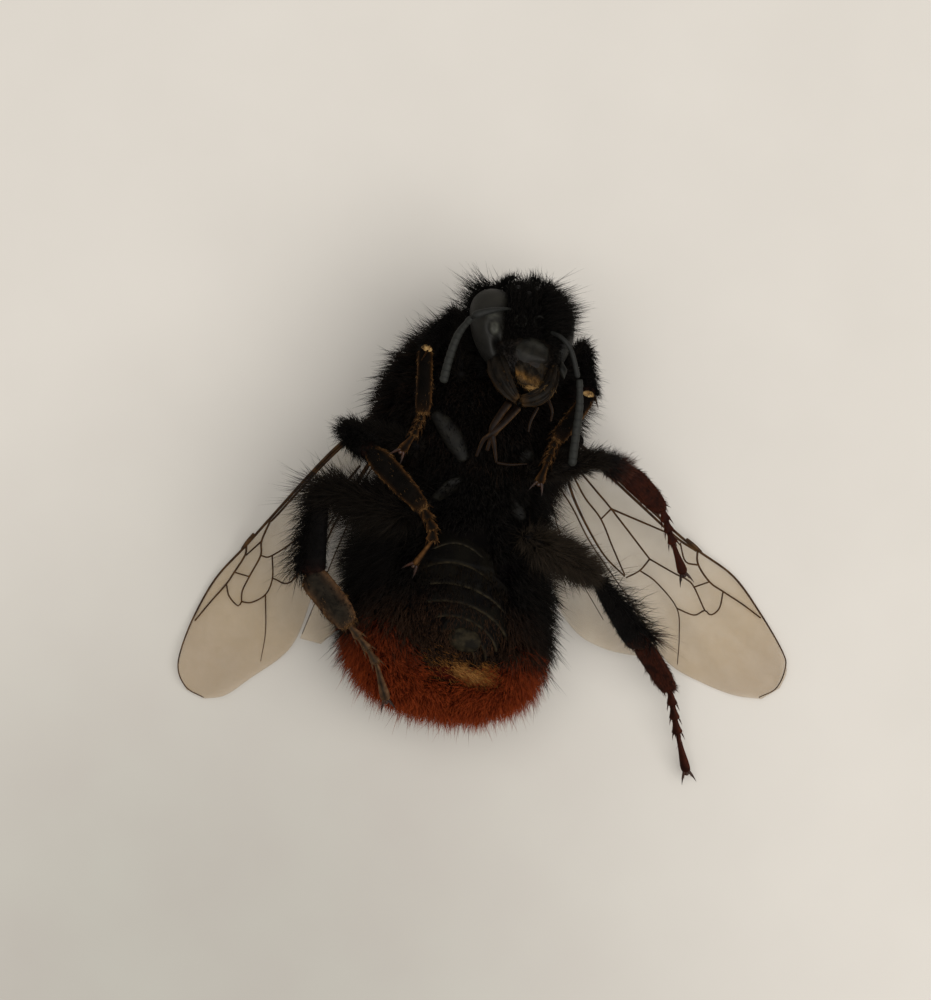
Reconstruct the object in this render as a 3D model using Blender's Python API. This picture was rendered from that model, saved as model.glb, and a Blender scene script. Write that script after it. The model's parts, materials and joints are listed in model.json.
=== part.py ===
"""A red-tailed bumblebee queen, life size, lying on its back with its legs folded over its belly.

Frame: metres, +Z up, the floor at Z = 0. +Y runs from the tail towards the head and +X towards the
animal's left side, so its belly faces +Z. The body solids reach out to the tips of the coat.
"""

import math

import bmesh
import bpy
from mathutils import Matrix, Vector

# ---- driving dimensions, in millimetres ----
MM = 0.001
JOINT_GAP = 0.12  # between neighbouring solids
LIMB = 0.25  # half the thickness of the thinnest limb
WING_THICKNESS = 0.5
WING_GAP = 0.2  # between a forewing and the hindwing that lies on it

THORAX_CENTRE = (-0.25, 4.4, 4.05)
THORAX_HALF_WIDTH = 4.75
THORAX_HALF_LENGTH = 4.9
THORAX_BACK = 4.2  # depth below the centre; the lowest 0.15 is the flat it lies on
THORAX_BELLY = 3.3  # height above the centre

ABDOMEN_HALF_WIDTH = 4.9
ABDOMEN_MIDDLE_X = -0.9  # of its waist
ABDOMEN_TURN_DEG = 10.0  # about +Z: the tail points a little to the animal's right
# (y, z) control points of the lines along the middle of its belly and its back, from waist to tip
ABDOMEN_BELLY_LINE = ((0.6, 6.0), (-1.5, 7.2), (-4.0, 7.4), (-5.6, 7.0))
ABDOMEN_BACK_LINE = ((0.6, 3.2), (-0.6, -1.2), (-12.0, -3.1), (-6.9, 7.0))
TAIL_STARTS = 0.6  # share of the way from waist to tip where the red tail begins
TIP_STARTS = 0.96  # share of the way where the plates round the sting begin

HEAD_CENTRE = (1.75, 7.95, 7.15)
HEAD_TURN_DEG = 16.0  # turned to its left, so that the right eye shows
HEAD_NOD_DEG = 12.0  # the crown dips towards the floor
EYE_CENTRE = (1.8, 0.4, 0.2)  # in the head: across, up and forwards
EYE_HALF = (0.65, 1.65, 1.0)
EYE_TAPER = 0.22  # how much wider than its middle the eye is at its top

CLAW_SPREAD = 0.32
CLAW_REACH = 0.45
CLAW_HALF = 0.15

COLOURS = {
    # finish: colour and roughness
    "black_coat": ((0.012, 0.011, 0.011, 1), 0.85),
    "red_coat": ((0.22, 0.035, 0.012, 1), 0.8),
    "black_shell": ((0.02, 0.019, 0.018, 1), 0.35),
    "brown_shell": ((0.16, 0.07, 0.03, 1), 0.45),
    "golden_plate": ((0.42, 0.25, 0.09, 1), 0.5),
    "eye": ((0.06, 0.06, 0.058, 1), 0.3),
    "wing": ((0.55, 0.45, 0.33, 1), 0.3),
}


# ---- making a solid ----
def material(name):
    """The finish's shared material, made on first use."""
    found = bpy.data.materials.get(name)
    if found:
        return found
    colour, roughness = COLOURS[name]
    made = bpy.data.materials.new(name)
    made.use_nodes = True
    shader = made.node_tree.nodes["Principled BSDF"]
    shader.inputs["Base Color"].default_value = colour
    shader.inputs["Roughness"].default_value = roughness
    shader.inputs["Metallic"].default_value = 0.0
    return made


def skin_rings(rings):
    """A closed bmesh through rings of points in millimetres, with a face over each end."""
    bm = bmesh.new()
    loops = [[bm.verts.new(Vector(point) * MM) for point in ring] for ring in rings]
    for low, high in zip(loops, loops[1:]):
        for k in range(len(low)):
            n = (k + 1) % len(low)
            bm.faces.new((low[k], low[n], high[n], high[k]))
    bm.faces.new(loops[0])
    bm.faces.new(loops[-1])
    bmesh.ops.recalc_face_normals(bm, faces=bm.faces)
    return bm


def oval(centre, side, up, half, above, below, sides, squareness=2.0):
    """A ring of points: half wide along side, and reaching above and below its centre along up.
    A squareness over 2 fills its corners."""
    ring = []
    for k in range(sides):
        turn = 2 * math.pi * (k + 0.5) / sides
        c, s = math.cos(turn), math.sin(turn)
        across = math.copysign(abs(c) ** (2 / squareness), c) * half
        height = math.copysign(abs(s) ** (2 / squareness), s) * (above if s > 0 else below)
        ring.append(Vector(centre) + side * across + up * height)
    return ring


def limb(points, halves, broad, grow=0.0, sides=8):
    """A limb with rounded ends along points. halves holds its half width and half depth at each point,
    and broad is the way its width runs."""
    points = [Vector(p) for p in points]
    rings = []
    for i, (point, (half, deep)) in enumerate(zip(points, halves)):
        ahead = points[min(i + 1, len(points) - 1)] - points[max(i - 1, 0)]
        ahead.normalize()
        side = Vector(broad) - ahead * ahead.dot(Vector(broad))
        side.normalize()
        up = side.cross(ahead)
        half, deep = half + grow, deep + grow
        cap = ahead * (0.35 * min(half, deep) + 0.5 * grow)
        small = (0.6 * half, 0.6 * deep, 0.6 * deep, sides)
        if i == 0:
            rings.append(oval(point - cap, side, up, *small))
        rings.append(oval(point, side, up, half, deep, deep, sides))
        if i == len(points) - 1:
            rings.append(oval(point + cap, side, up, *small))
    return skin_rings(rings)


placed = []  # (node, its wider copy) in the order they were made


def box_of(obj):
    corners = [obj.matrix_world @ Vector(corner) for corner in obj.bound_box]
    return [(min(c[i] for c in corners), max(c[i] for c in corners)) for i in range(3)]


def boxes_meet(one, other):
    return all(a[0] < b[1] and b[0] < a[1] for a, b in zip(box_of(one), box_of(other)))


def new_object(name, bm, finish):
    mesh = bpy.data.meshes.new(name)
    bm.to_mesh(mesh)
    bm.free()
    mesh.materials.append(material(finish))
    obj = bpy.data.objects.new(name, mesh)
    bpy.context.scene.collection.objects.link(obj)
    return obj


def boolean(obj, cutter, operation):
    modifier = obj.modifiers.new(f"{operation.lower()}_{cutter.name}", "BOOLEAN")
    modifier.operation = operation
    modifier.solver = "EXACT"
    modifier.object = cutter


def guide(name, bm, finish):
    """A hidden object that cuts others or is joined to them."""
    obj = new_object(name, bm, finish)
    obj.hide_render = True
    obj.display_type = "WIRE"
    return obj


def freeze(obj):
    """Applies the object's modifiers and drops the crumbs that cuts leave loose."""
    bpy.context.view_layer.update()
    graph = bpy.context.evaluated_depsgraph_get()
    mesh = bpy.data.meshes.new_from_object(obj.evaluated_get(graph), depsgraph=graph)
    obj.modifiers.clear()
    bm = bmesh.new()
    bm.from_mesh(mesh)
    bmesh.ops.remove_doubles(bm, verts=bm.verts, dist=0.004 * MM)
    bmesh.ops.dissolve_degenerate(bm, edges=bm.edges, dist=0.002 * MM)
    unseen = set(bm.verts)
    pieces = []
    while unseen:
        piece = set()
        front = [next(iter(unseen))]
        while front:
            vert = front.pop()
            if vert not in piece:
                piece.add(vert)
                front.extend(edge.other_vert(vert) for edge in vert.link_edges)
        unseen -= piece
        pieces.append(piece)
    largest = max(pieces, key=len)
    crumbs = [vert for piece in pieces if piece is not largest for vert in piece]
    bmesh.ops.delete(bm, geom=crumbs, context="VERTS")
    bm.to_mesh(mesh)
    bm.free()
    obj.data = mesh


def lay_on_floor(obj):
    """Cuts off what is below the floor, which leaves the small flat that the object lies on."""
    bm = bmesh.new()
    bm.from_mesh(obj.data)
    cut = bmesh.ops.bisect_plane(
        bm, geom=bm.verts[:] + bm.edges[:] + bm.faces[:],
        plane_co=(0, 0, 0), plane_no=(0, 0, -1), clear_outer=True,
    )
    rim = [edge for edge in cut["geom_cut"] if isinstance(edge, bmesh.types.BMEdge)]
    if rim:
        bmesh.ops.contextual_create(bm, geom=rim)
        bmesh.ops.recalc_face_normals(bm, faces=bm.faces)
    bm.to_mesh(obj.data)
    bm.free()


def add_part(name, finish, shape):
    """Makes a node from shape(0), and takes the wider copies of its earlier neighbours out of it.
    shape(JOINT_GAP) becomes its own wider copy. Hard parts come first, so soft ones give way."""
    node = new_object(name, shape(0.0), finish)
    wider = guide(name + "_wider", shape(JOINT_GAP), finish)
    bpy.context.view_layer.update()
    for _, other in placed:
        if boxes_meet(node, other):
            boolean(node, other, "DIFFERENCE")
    freeze(node)
    lay_on_floor(node)
    node.data.shade_smooth()
    node.data.set_sharp_from_angle(angle=math.radians(40))
    placed.append((node, wider))
    return node


# ---- head ----
HEAD_RINGS = (
    # height in the head, half width, half depth, how far forwards
    (-1.95, 0.95, 0.55, 0.3),
    (-1.75, 1.3, 0.85, 0.25),
    (-1.2, 1.7, 1.1, 0.15),
    (-0.4, 2.02, 1.3, 0.05),
    (0.5, 2.2, 1.4, 0.0),
    (1.4, 2.2, 1.42, -0.05),
    (2.1, 1.98, 1.32, -0.1),
    (2.7, 1.5, 1.05, -0.15),
    (2.98, 0.9, 0.65, -0.2),
)


def head_pose():
    """The head's place: X runs across the face, Y up it and Z out of it."""
    turn = Matrix.Rotation(math.radians(HEAD_TURN_DEG), 4, "Y")
    nod = Matrix.Rotation(math.radians(-HEAD_NOD_DEG), 4, "X")
    return Matrix.Translation(Vector(HEAD_CENTRE)) @ nod @ turn


def on_head(point):
    return head_pose() @ Vector(point)


def head_shape(grow):
    side = head_pose().to_3x3() @ Vector((1, 0, 0))
    up = head_pose().to_3x3() @ Vector((0, 0, 1))
    rings = []
    for height, half, deep, forwards in HEAD_RINGS:
        height += math.copysign(grow, height)
        deep += grow
        centre = on_head((0, height, forwards))
        rings.append(oval(centre, side, up, half + grow, deep, deep, 20, squareness=2.3))
    return skin_rings(rings)


def eye_shape(sign, grow):
    """A compound eye: a long oval on the side of the head, widest near its top."""
    bm = bmesh.new()
    bmesh.ops.create_uvsphere(bm, u_segments=16, v_segments=10, radius=1.0)
    bmesh.ops.rotate(bm, verts=bm.verts, matrix=Matrix.Rotation(math.radians(90), 3, "X"))
    for vert in bm.verts:
        vert.co.x *= 1 + EYE_TAPER * vert.co.y
    half = Matrix.Diagonal([h + grow for h in EYE_HALF] + [1])
    centre = Matrix.Translation((sign * EYE_CENTRE[0], EYE_CENTRE[1], EYE_CENTRE[2]))
    bmesh.ops.transform(bm, verts=bm.verts, matrix=head_pose() @ centre @ half)
    bmesh.ops.scale(bm, verts=bm.verts, vec=(MM, MM, MM))
    return bm


def mandible_shape(sign, grow):
    points = ((1.35, -1.5, 0.95), (1.1, -2.15, 1.15), (0.5, -2.68, 1.15))
    points = [on_head((sign * x, y, z)) for x, y, z in points]
    return limb(points, ((0.42, 0.3), (0.45, 0.28), (0.32, 0.25)), (1, -0.5 * sign, 0), grow)


def scape_shape(side, grow):
    """The antenna's first long segment, from its socket beside the middle of the face to the elbow."""
    points = {
        "right": ((1.3, 9.15, 9.0), (0.4, 9.1, 9.15), (-0.4, 8.98, 8.9)),
        "left": ((3.1, 8.1, 8.75), (3.75, 7.35, 8.65), (4.05, 6.45, 8.4)),
    }[side]
    return limb(points, [(LIMB, LIMB)] * len(points), (0, 1, 0), grow)


def flagellum_shape(side, grow):
    points = {
        "right": ((-0.45, 8.9, 8.85), (-1.0, 8.2, 8.5), (-1.38, 7.2, 8.3), (-1.65, 6.15, 8.1)),
        "left": ((4.1, 6.3, 8.35), (4.1, 5.2, 8.3), (3.95, 4.0, 8.2), (3.78, 2.65, 8.0)),
    }[side]
    return limb(points, [(LIMB, LIMB)] * len(points), (0, 0, 1), grow)


def proboscis_shape(grow):
    """The tongue and its two sheaths, let down from under the jaws onto the chest."""
    points = ((1.35, 5.0, 7.75), (0.75, 4.3, 7.95), (0.25, 3.6, 7.9), (0.1, 3.0, 7.75))
    halves = ((0.4, 0.27), (0.42, 0.27), (0.45, 0.27), (0.35, 0.25))
    return limb(points, halves, (1, 0, 0), grow)


def make_face():
    for side, sign in (("right", -1), ("left", 1)):
        add_part(f"eye_{side}", "eye", lambda grow: eye_shape(sign, grow))
        add_part(f"mandible_{side}", "brown_shell", lambda grow: mandible_shape(sign, grow))
        add_part(f"antenna_{side}_scape", "black_shell", lambda grow: scape_shape(side, grow))
        add_part(f"antenna_{side}_flagellum", "black_shell", lambda grow: flagellum_shape(side, grow))
    add_part("proboscis", "brown_shell", proboscis_shape)


# ---- legs ----
# The joints of each leg: hip, knee, ankle and heel, then the points that the tarsus runs through.
LEGS = {
    "foreleg_right": ((-0.9, 6.3, 6.9), (-1.05, 9.25, 6.05), (-2.4, 7.62, 7.2), (-2.5, 4.85, 8.0),
                      (-2.88, 3.95, 8.05), (-3.4, 3.3, 8.0)),
    "foreleg_left": ((2.4, 6.1, 6.0), (4.4, 7.8, 5.2), (4.55, 5.65, 6.65), (3.1, 3.75, 7.55),
                     (2.72, 2.75, 7.7), (2.4, 1.95, 7.7)),
    "midleg_right": ((-2.6, 3.5, 7.0), (-5.95, 4.3, 5.1), (-4.7, 3.3, 7.35), (-2.45, 0.85, 8.15),
                     (-2.05, -0.15, 8.1), (-2.3, -0.85, 8.0), (-2.85, -1.5, 7.85)),
    "midleg_left": ((1.9, 2.35, 7.1), (5.15, 2.95, 7.35), (6.1, 2.45, 4.7), (7.75, 0.85, 3.35),
                    (8.3, -0.5, 2.75), (8.6, -1.6, 2.35)),
    "hindleg_right": ((-2.3, 0.6, 7.0), (-6.75, 1.95, 5.85), (-7.25, -1.95, 6.4), (-5.6, -4.05, 6.95),
                      (-4.7, -5.25, 7.05), (-4.3, -6.1, 6.95), (-4.05, -7.25, 6.5)),
    "hindleg_left": ((1.7, -0.25, 7.1), (4.85, -2.05, 6.15), (6.85, -5.0, 3.2), (8.05, -6.95, 1.7),
                     (8.42, -8.95, 1.0), (8.78, -10.45, 0.6)),
}
# Each segment's half width and half depth at its start, middle and end.
SEGMENTS = {
    "foreleg": {
        "femur": ((0.34, 0.34), (0.46, 0.46), (0.36, 0.36)),
        "tibia": ((0.34, 0.34), (0.48, 0.42), (0.42, 0.34)),
        "basitarsus": ((0.34, 0.26), (0.42, 0.27), (0.42, 0.25)),
    },
    "midleg": {
        "femur": ((0.4, 0.4), (0.6, 0.55), (0.42, 0.42)),
        "tibia": ((0.45, 0.42), (0.74, 0.58), (0.52, 0.4)),
        "basitarsus": ((0.4, 0.27), (0.52, 0.28), (0.46, 0.26)),
    },
    "hindleg": {
        "femur": ((0.45, 0.45), (0.75, 0.65), (0.5, 0.5)),
        "tibia": ((0.42, 0.36), (0.78, 0.42), (0.82, 0.34)),
        "basitarsus": ((0.55, 0.28), (0.66, 0.29), (0.5, 0.26)),
    },
}
# The way that each leg's tibia and basitarsus are widest.
BROAD = {
    "foreleg_right": (1, 0.6, 0), "foreleg_left": (1, -0.3, 0),
    "midleg_right": (0.8, 1, 0), "midleg_left": (0.7, 1, 0),
    "hindleg_right": (1, 0.2, 0.2), "hindleg_left": (1, 0.5, 0),
}
SEGMENT_FINISH = {"femur": "black_coat", "tibia": "black_coat", "basitarsus": "brown_shell"}


def segment_shape(start, end, halves, broad, grow):
    middle = (Vector(start) + Vector(end)) / 2
    return limb((start, middle, end), halves, broad, grow, sides=10)


def tarsus_shape(points, grow):
    """The four small segments past the basitarsus, as one limb."""
    halves = [(LIMB + 0.06, LIMB)] + [(LIMB + 0.02, LIMB)] * (len(points) - 1)
    return limb(points, halves, (1, 0.2, 0), grow)


def claw_shape(points, sign):
    """One of the two claws, from inside the last segment outwards."""
    ahead = (Vector(points[-1]) - Vector(points[-2])).normalized()
    side = ahead.cross(Vector((0, 0, 1))).normalized() * sign
    root = Vector(points[-1]) + side * 0.08
    tip = Vector(points[-1]) + side * CLAW_SPREAD + ahead * CLAW_REACH
    return limb((root, tip), [(CLAW_HALF, CLAW_HALF)] * 2, side + ahead.cross(side), sides=6)


def make_leg(name, joints):
    """The tarsus with its claws first, and then each segment up to the hip."""
    tarsus_points = joints[3:]
    tarsus = add_part(f"{name}_tarsus", "brown_shell", lambda grow: tarsus_shape(tarsus_points, grow))
    for side, sign in (("a", -1), ("b", 1)):
        claw = guide(f"{name}_claw_{side}", claw_shape(tarsus_points, sign), "brown_shell")
        boolean(tarsus, claw, "UNION")
    freeze(tarsus)
    widths = SEGMENTS[name.split("_")[0]]
    for part, start in (("basitarsus", 2), ("tibia", 1), ("femur", 0)):
        ends = joints[start:start + 2]
        add_part(
            f"{name}_{part}", SEGMENT_FINISH[part],
            lambda grow: segment_shape(*ends, widths[part], BROAD[name], grow),
        )


# ---- wings ----
# Each station is the leading edge's x, y and the trailing edge's x, y, from the hinge to the tip.
FOREWINGS = {
    "right": (
        ((-3.9, 5.75), (-3.7, 4.6)), ((-5.6, 4.05), (-5.0, 3.1)), ((-7.2, 2.45), (-5.9, 0.8)),
        ((-8.8, 0.8), (-6.75, -1.2)), ((-10.2, -0.75), (-7.35, -3.1)), ((-11.4, -2.1), (-7.9, -4.6)),
        ((-12.3, -3.7), (-8.6, -5.5)), ((-12.88, -5.1), (-9.9, -6.4)), ((-13.05, -6.15), (-11.0, -7.15)),
        ((-12.7, -6.9), (-11.9, -7.3)),
    ),
    "left": (
        ((3.6, 4.35), (3.3, 3.2)), ((5.0, 2.95), (4.05, 1.3)), ((6.6, 1.45), (4.7, -0.2)),
        ((8.2, -0.05), (5.45, -1.55)), ((9.6, -1.2), (6.3, -3.0)), ((10.9, -2.2), (7.15, -4.6)),
        ((12.0, -3.65), (8.1, -5.85)), ((12.75, -5.0), (9.4, -6.6)), ((13.1, -6.05), (10.8, -7.15)),
        ((12.8, -6.85), (12.0, -7.32)),
    ),
}
HINDWINGS = {
    "right": (
        ((-3.3, 4.0), (-2.9, 3.3)), ((-4.75, 2.6), (-3.7, 1.4)), ((-5.65, 0.5), (-4.4, -0.6)),
        ((-6.5, -1.5), (-5.2, -2.6)), ((-7.2, -3.3), (-5.9, -4.0)), ((-7.8, -4.7), (-6.9, -4.95)),
    ),
    "left": (
        ((2.95, 2.8), (2.4, 2.0)), ((3.85, 1.1), (2.5, 0.0)), ((4.6, -0.4), (2.75, -1.7)),
        ((5.5, -1.75), (3.2, -3.2)), ((6.5, -3.2), (4.1, -4.5)), ((7.3, -4.6), (5.4, -5.2)),
        ((7.6, -5.35), (6.9, -5.5)),
    ),
}
HINGES = {"right": (-3.6, 5.4), "left": (3.3, 4.1)}
HINGE_HEIGHT = 2.9
FALL_LENGTH = 11.5  # along which a wing comes down from its hinge to the floor


def wing_height(x, y, side):
    """The height of the forewing's middle: a smooth fall from the hinge to the floor."""
    share = min(1.0, math.dist((x, y), HINGES[side]) / FALL_LENGTH)
    smooth = share * share * (3 - 2 * share)
    return HINGE_HEIGHT + (WING_THICKNESS / 2 - HINGE_HEIGHT) * smooth


def wing_shape(edges, side, lift, grow):
    """A thin slab through six-sided rings, each from the leading edge to the trailing edge."""
    rings = []
    half = WING_THICKNESS / 2 + grow
    for lead, trail in edges:
        lead = Vector((*lead, wing_height(*lead, side) + lift))
        trail = Vector((*trail, wing_height(*trail, side) + lift))
        chord = (trail - lead).normalized()
        lead, trail = lead - chord * grow, trail + chord * grow
        inset = (trail - lead) * 0.07
        rise = Vector((0, 0, half))
        top = (lead + inset + rise, trail - inset + rise)
        bottom = (trail - inset - rise, lead + inset - rise)
        rings.append((lead, *top, trail, *bottom))
    return skin_rings(rings)


def make_wings():
    on_top = WING_THICKNESS + WING_GAP
    for side in ("right", "left"):
        add_part(f"forewing_{side}", "wing", lambda grow: wing_shape(FOREWINGS[side], side, 0.0, grow))
        add_part(f"hindwing_{side}", "wing", lambda grow: wing_shape(HINDWINGS[side], side, on_top, grow))


# ---- trunk ----
def thorax_shape(grow):
    """The thorax in its coat: nearly a ball, a little flatter on the belly side."""
    cx, cy, cz = THORAX_CENTRE
    rings = []
    count = 15
    for i in range(count):
        turn = math.pi * (i + 0.5) / count
        share = math.sin(turn) ** 0.9
        centre = (cx, cy - math.cos(turn) * (THORAX_HALF_LENGTH + grow), cz)
        half = (THORAX_HALF_WIDTH + grow) * share
        above, below = (THORAX_BELLY + grow) * share, (THORAX_BACK + grow) * share
        rings.append(oval(centre, Vector((1, 0, 0)), Vector((0, 0, 1)), half, above, below, 24))
    return skin_rings(rings)


def bezier(controls, t):
    """The point at share t of a cubic Bezier curve, as (y, z)."""
    shares = ((1 - t) ** 3, 3 * t * (1 - t) ** 2, 3 * t ** 2 * (1 - t), t ** 3)
    return [sum(share * point[i] for share, point in zip(shares, controls)) for i in range(2)]


def abdomen_point(y, z, t):
    """A point of the abdomen's middle plane, which is turned and bends back a little near the tip."""
    turn = math.radians(ABDOMEN_TURN_DEG)
    return Vector((ABDOMEN_MIDDLE_X + y * math.sin(turn) + 0.6 * t ** 3, y * math.cos(turn), z))


def abdomen_ring(t, grow):
    """The ring at share t of the way from waist to tip. It spans from the short belly line to the long
    line of the back, which is how the abdomen curls until its tip faces away from the floor."""
    belly = abdomen_point(*bezier(ABDOMEN_BELLY_LINE, t), t)
    back = abdomen_point(*bezier(ABDOMEN_BACK_LINE, t), t)
    turn = math.radians(ABDOMEN_TURN_DEG)
    side = Vector((math.cos(turn), -math.sin(turn), 0))
    half_wide = ABDOMEN_HALF_WIDTH * (1 - ((t - 0.5) / 0.51) ** 2) ** 0.5 + grow
    half_deep = (belly - back).length / 2 + grow
    up = (belly - back).normalized()
    return oval((belly + back) / 2, side, up, half_wide, half_deep, half_deep, 24)


def abdomen_shape(first, last, count, grow):
    """A length of the abdomen, with enough overlap at both ends for its neighbours to be cut."""
    overlap = 0.02
    first = max(first - overlap * (grow > 0), 0.0)
    last = min(last + overlap, 1.0)
    shares = [first + (last - first) * i / (count - 1) for i in range(count)]
    return skin_rings([abdomen_ring(t, grow) for t in shares])


def make_trunk():
    """The abdomen is parted by thin cuts into its black front, its red tail and the sting's plates."""
    cuts = (0.0, TAIL_STARTS, TIP_STARTS, 1.0)
    rings = (10, 9, 4)
    finishes = ("black_coat", "red_coat", "golden_plate")
    for i, name in reversed(list(enumerate(("abdomen", "tail", "tail_tip")))):
        add_part(name, finishes[i], lambda grow: abdomen_shape(*cuts[i:i + 2], rings[i], grow))
    add_part("head", "black_coat", head_shape)
    add_part("thorax", "black_coat", thorax_shape)


for left_over in list(bpy.data.objects):
    bpy.data.objects.remove(left_over)
make_face()
for leg_name, leg_joints in LEGS.items():
    make_leg(leg_name, leg_joints)
make_wings()
make_trunk()
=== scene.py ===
import json
import math

import bmesh
import bpy
import numpy as np
from mathutils import Matrix, Vector
from mathutils.bvhtree import BVHTree

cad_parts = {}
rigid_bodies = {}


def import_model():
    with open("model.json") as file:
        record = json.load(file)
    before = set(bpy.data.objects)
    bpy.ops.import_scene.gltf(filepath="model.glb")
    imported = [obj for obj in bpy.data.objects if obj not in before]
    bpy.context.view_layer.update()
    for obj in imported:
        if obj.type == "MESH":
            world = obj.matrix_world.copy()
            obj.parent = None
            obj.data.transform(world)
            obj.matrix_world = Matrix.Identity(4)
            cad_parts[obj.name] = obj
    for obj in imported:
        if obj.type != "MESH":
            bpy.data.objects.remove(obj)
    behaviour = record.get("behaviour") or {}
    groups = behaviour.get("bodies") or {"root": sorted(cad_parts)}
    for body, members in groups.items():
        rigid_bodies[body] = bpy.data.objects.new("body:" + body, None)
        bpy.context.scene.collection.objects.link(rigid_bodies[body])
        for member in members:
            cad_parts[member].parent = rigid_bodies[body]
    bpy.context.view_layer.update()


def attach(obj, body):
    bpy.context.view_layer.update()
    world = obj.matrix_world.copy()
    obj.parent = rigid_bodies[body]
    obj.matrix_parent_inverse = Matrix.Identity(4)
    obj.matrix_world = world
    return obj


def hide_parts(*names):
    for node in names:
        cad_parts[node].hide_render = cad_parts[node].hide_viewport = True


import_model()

MM = 0.001
BODY = "root"


# ======== The skin of head, thorax and abdomen ========
# The animal's shell: black chitin, hard and thin, a head capsule, a ball of a thorax and a ringed
# abdomen, joined by a soft neck and a narrow waist. Hair hides nearly all of it. The bodies are lofted
# from rings and grown into one surface, which lies inside the solids by the depth of the coat.

THORAX_CENTRE = np.array((-0.25, 4.4, 4.05))
THORAX_HALF = (4.75, 4.9)  # half width and half length, to the tips of the coat
THORAX_BACK, THORAX_BELLY = 4.05, 3.3
ABDOMEN_HALF_WIDTH = 4.9
ABDOMEN_MIDDLE_X, ABDOMEN_TURN = -0.9, math.radians(10)
ABDOMEN_BELLY_LINE = ((0.6, 6.0), (-1.5, 7.2), (-4.0, 7.4), (-5.6, 7.0))
ABDOMEN_BACK_LINE = ((0.6, 3.2), (-0.6, -1.2), (-12.0, -3.1), (-6.9, 7.0))
HEAD_POSE = (
    Matrix.Translation((1.75, 7.95, 7.15))
    @ Matrix.Rotation(math.radians(-12), 4, "X")
    @ Matrix.Rotation(math.radians(16), 4, "Y")
)
# height in the head, half width, half depth and how far forwards, to the tips of the coat
HEAD_RINGS = np.array((
    (-1.95, 0.95, 0.55, 0.3), (-1.75, 1.3, 0.85, 0.25), (-1.2, 1.7, 1.1, 0.15), (-0.4, 2.02, 1.3, 0.05),
    (0.5, 2.15, 1.4, 0.0), (1.4, 2.05, 1.42, -0.05), (2.1, 1.65, 1.32, -0.1), (2.7, 1.1, 1.05, -0.15),
    (2.98, 0.6, 0.65, -0.2),
))
THORAX_COAT, ABDOMEN_COAT, HEAD_COAT = 0.85, 0.75, 0.36  # how deep the hair is over the skin
TAIL_STARTS = 0.625  # share of the way from waist to tip where the red tail begins


def unit(vectors):
    vectors = np.asarray(vectors, float)
    return vectors / np.maximum(np.linalg.norm(vectors, axis=-1, keepdims=True), 1e-9)


def thorax_point(u, v, depth):
    """Points of the thorax: u turns about its length, and v runs from its tail end to its head end."""
    share = np.sin(math.pi * v) ** 0.9
    round_x, round_z = np.cos(2 * math.pi * u), np.sin(2 * math.pi * u)
    x = THORAX_CENTRE[0] + (THORAX_HALF[0] - depth) * share * round_x
    y = THORAX_CENTRE[1] - np.cos(math.pi * v) * (THORAX_HALF[1] - depth)
    tall = np.where(round_z > 0, THORAX_BELLY - 0.7 * depth, THORAX_BACK - 0.6 * depth)
    return np.stack((x, y, THORAX_CENTRE[2] + share * tall * round_z), -1)


def bezier(controls, t):
    a, b, c, d = (np.array(control) for control in controls)
    t = np.asarray(t, float)[..., None]
    return a * (1 - t) ** 3 + 3 * b * t * (1 - t) ** 2 + 3 * c * t ** 2 * (1 - t) + d * t ** 3


def abdomen_point(u, v, depth):
    """Points of the abdomen: u turns about its length, and v runs from the waist to the tip."""
    belly, back = bezier(ABDOMEN_BELLY_LINE, v), bezier(ABDOMEN_BACK_LINE, v)
    half_deep = (belly - back) / 2
    deep = np.linalg.norm(half_deep, axis=-1)
    round_x, round_z = np.cos(2 * math.pi * u), np.sin(2 * math.pi * u)
    wide = ABDOMEN_HALF_WIDTH * np.sqrt(np.clip(1 - ((v - 0.5) / 0.51) ** 2, 0, 1))
    wide = np.maximum(wide - depth, 0.3 * wide)
    tall = np.maximum(deep - np.where(round_z > 0, 0.5, 0.85) * depth, 0.3 * deep) / deep * round_z
    yz = (belly + back) / 2 + half_deep * tall[..., None]
    x = ABDOMEN_MIDDLE_X + yz[..., 0] * math.sin(ABDOMEN_TURN) + 0.6 * v ** 3
    x = x + wide * round_x * math.cos(ABDOMEN_TURN)
    y = yz[..., 0] * math.cos(ABDOMEN_TURN) - wide * round_x * math.sin(ABDOMEN_TURN)
    return np.stack((x, y, yz[..., 1]), -1)


def on_head(points):
    """Points given in the head's own directions: x across the face, y up it and z out of it."""
    pose = np.array(HEAD_POSE)
    return np.asarray(points) @ pose[:3, :3].T + pose[:3, 3]


def in_head(points):
    """The other way: points of the model in the head's own directions."""
    pose = np.array(HEAD_POSE)
    return (points - pose[:3, 3]) @ pose[:3, :3]


def head_point(u, v, depth):
    """Points of the head capsule: u turns about its height, and v goes up from the jaws."""
    place = np.linspace(0, 1, len(HEAD_RINGS))
    height, half, deep, forwards = (np.interp(v, place, column) for column in HEAD_RINGS.T)
    c, s = np.cos(2 * math.pi * u), np.sin(2 * math.pi * u)
    x = np.sign(c) * np.abs(c) ** 0.87 * np.maximum(half - depth, 0.2)
    z = forwards + np.sign(s) * np.abs(s) ** 0.87 * np.maximum(deep - depth, 0.15)
    height = np.where(height > 0, height * (1 - 0.7 * depth), height * (1 - 0.25 * depth))
    return on_head(np.stack((x, height, z), -1))


def waist_point(u, v, depth):
    """Points of the thick soft-haired join between thorax and abdomen: v runs tailwards."""
    round_x, round_z = np.cos(2 * math.pi * u), np.sin(2 * math.pi * u)
    x = -0.35 - 0.5 * v + (3.5 - depth) * round_x
    z = 4.2 + 0.2 * v + (2.9 - 0.6 * depth) * round_z
    return np.stack((x, 2.9 - 4.6 * v, z), -1)


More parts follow.
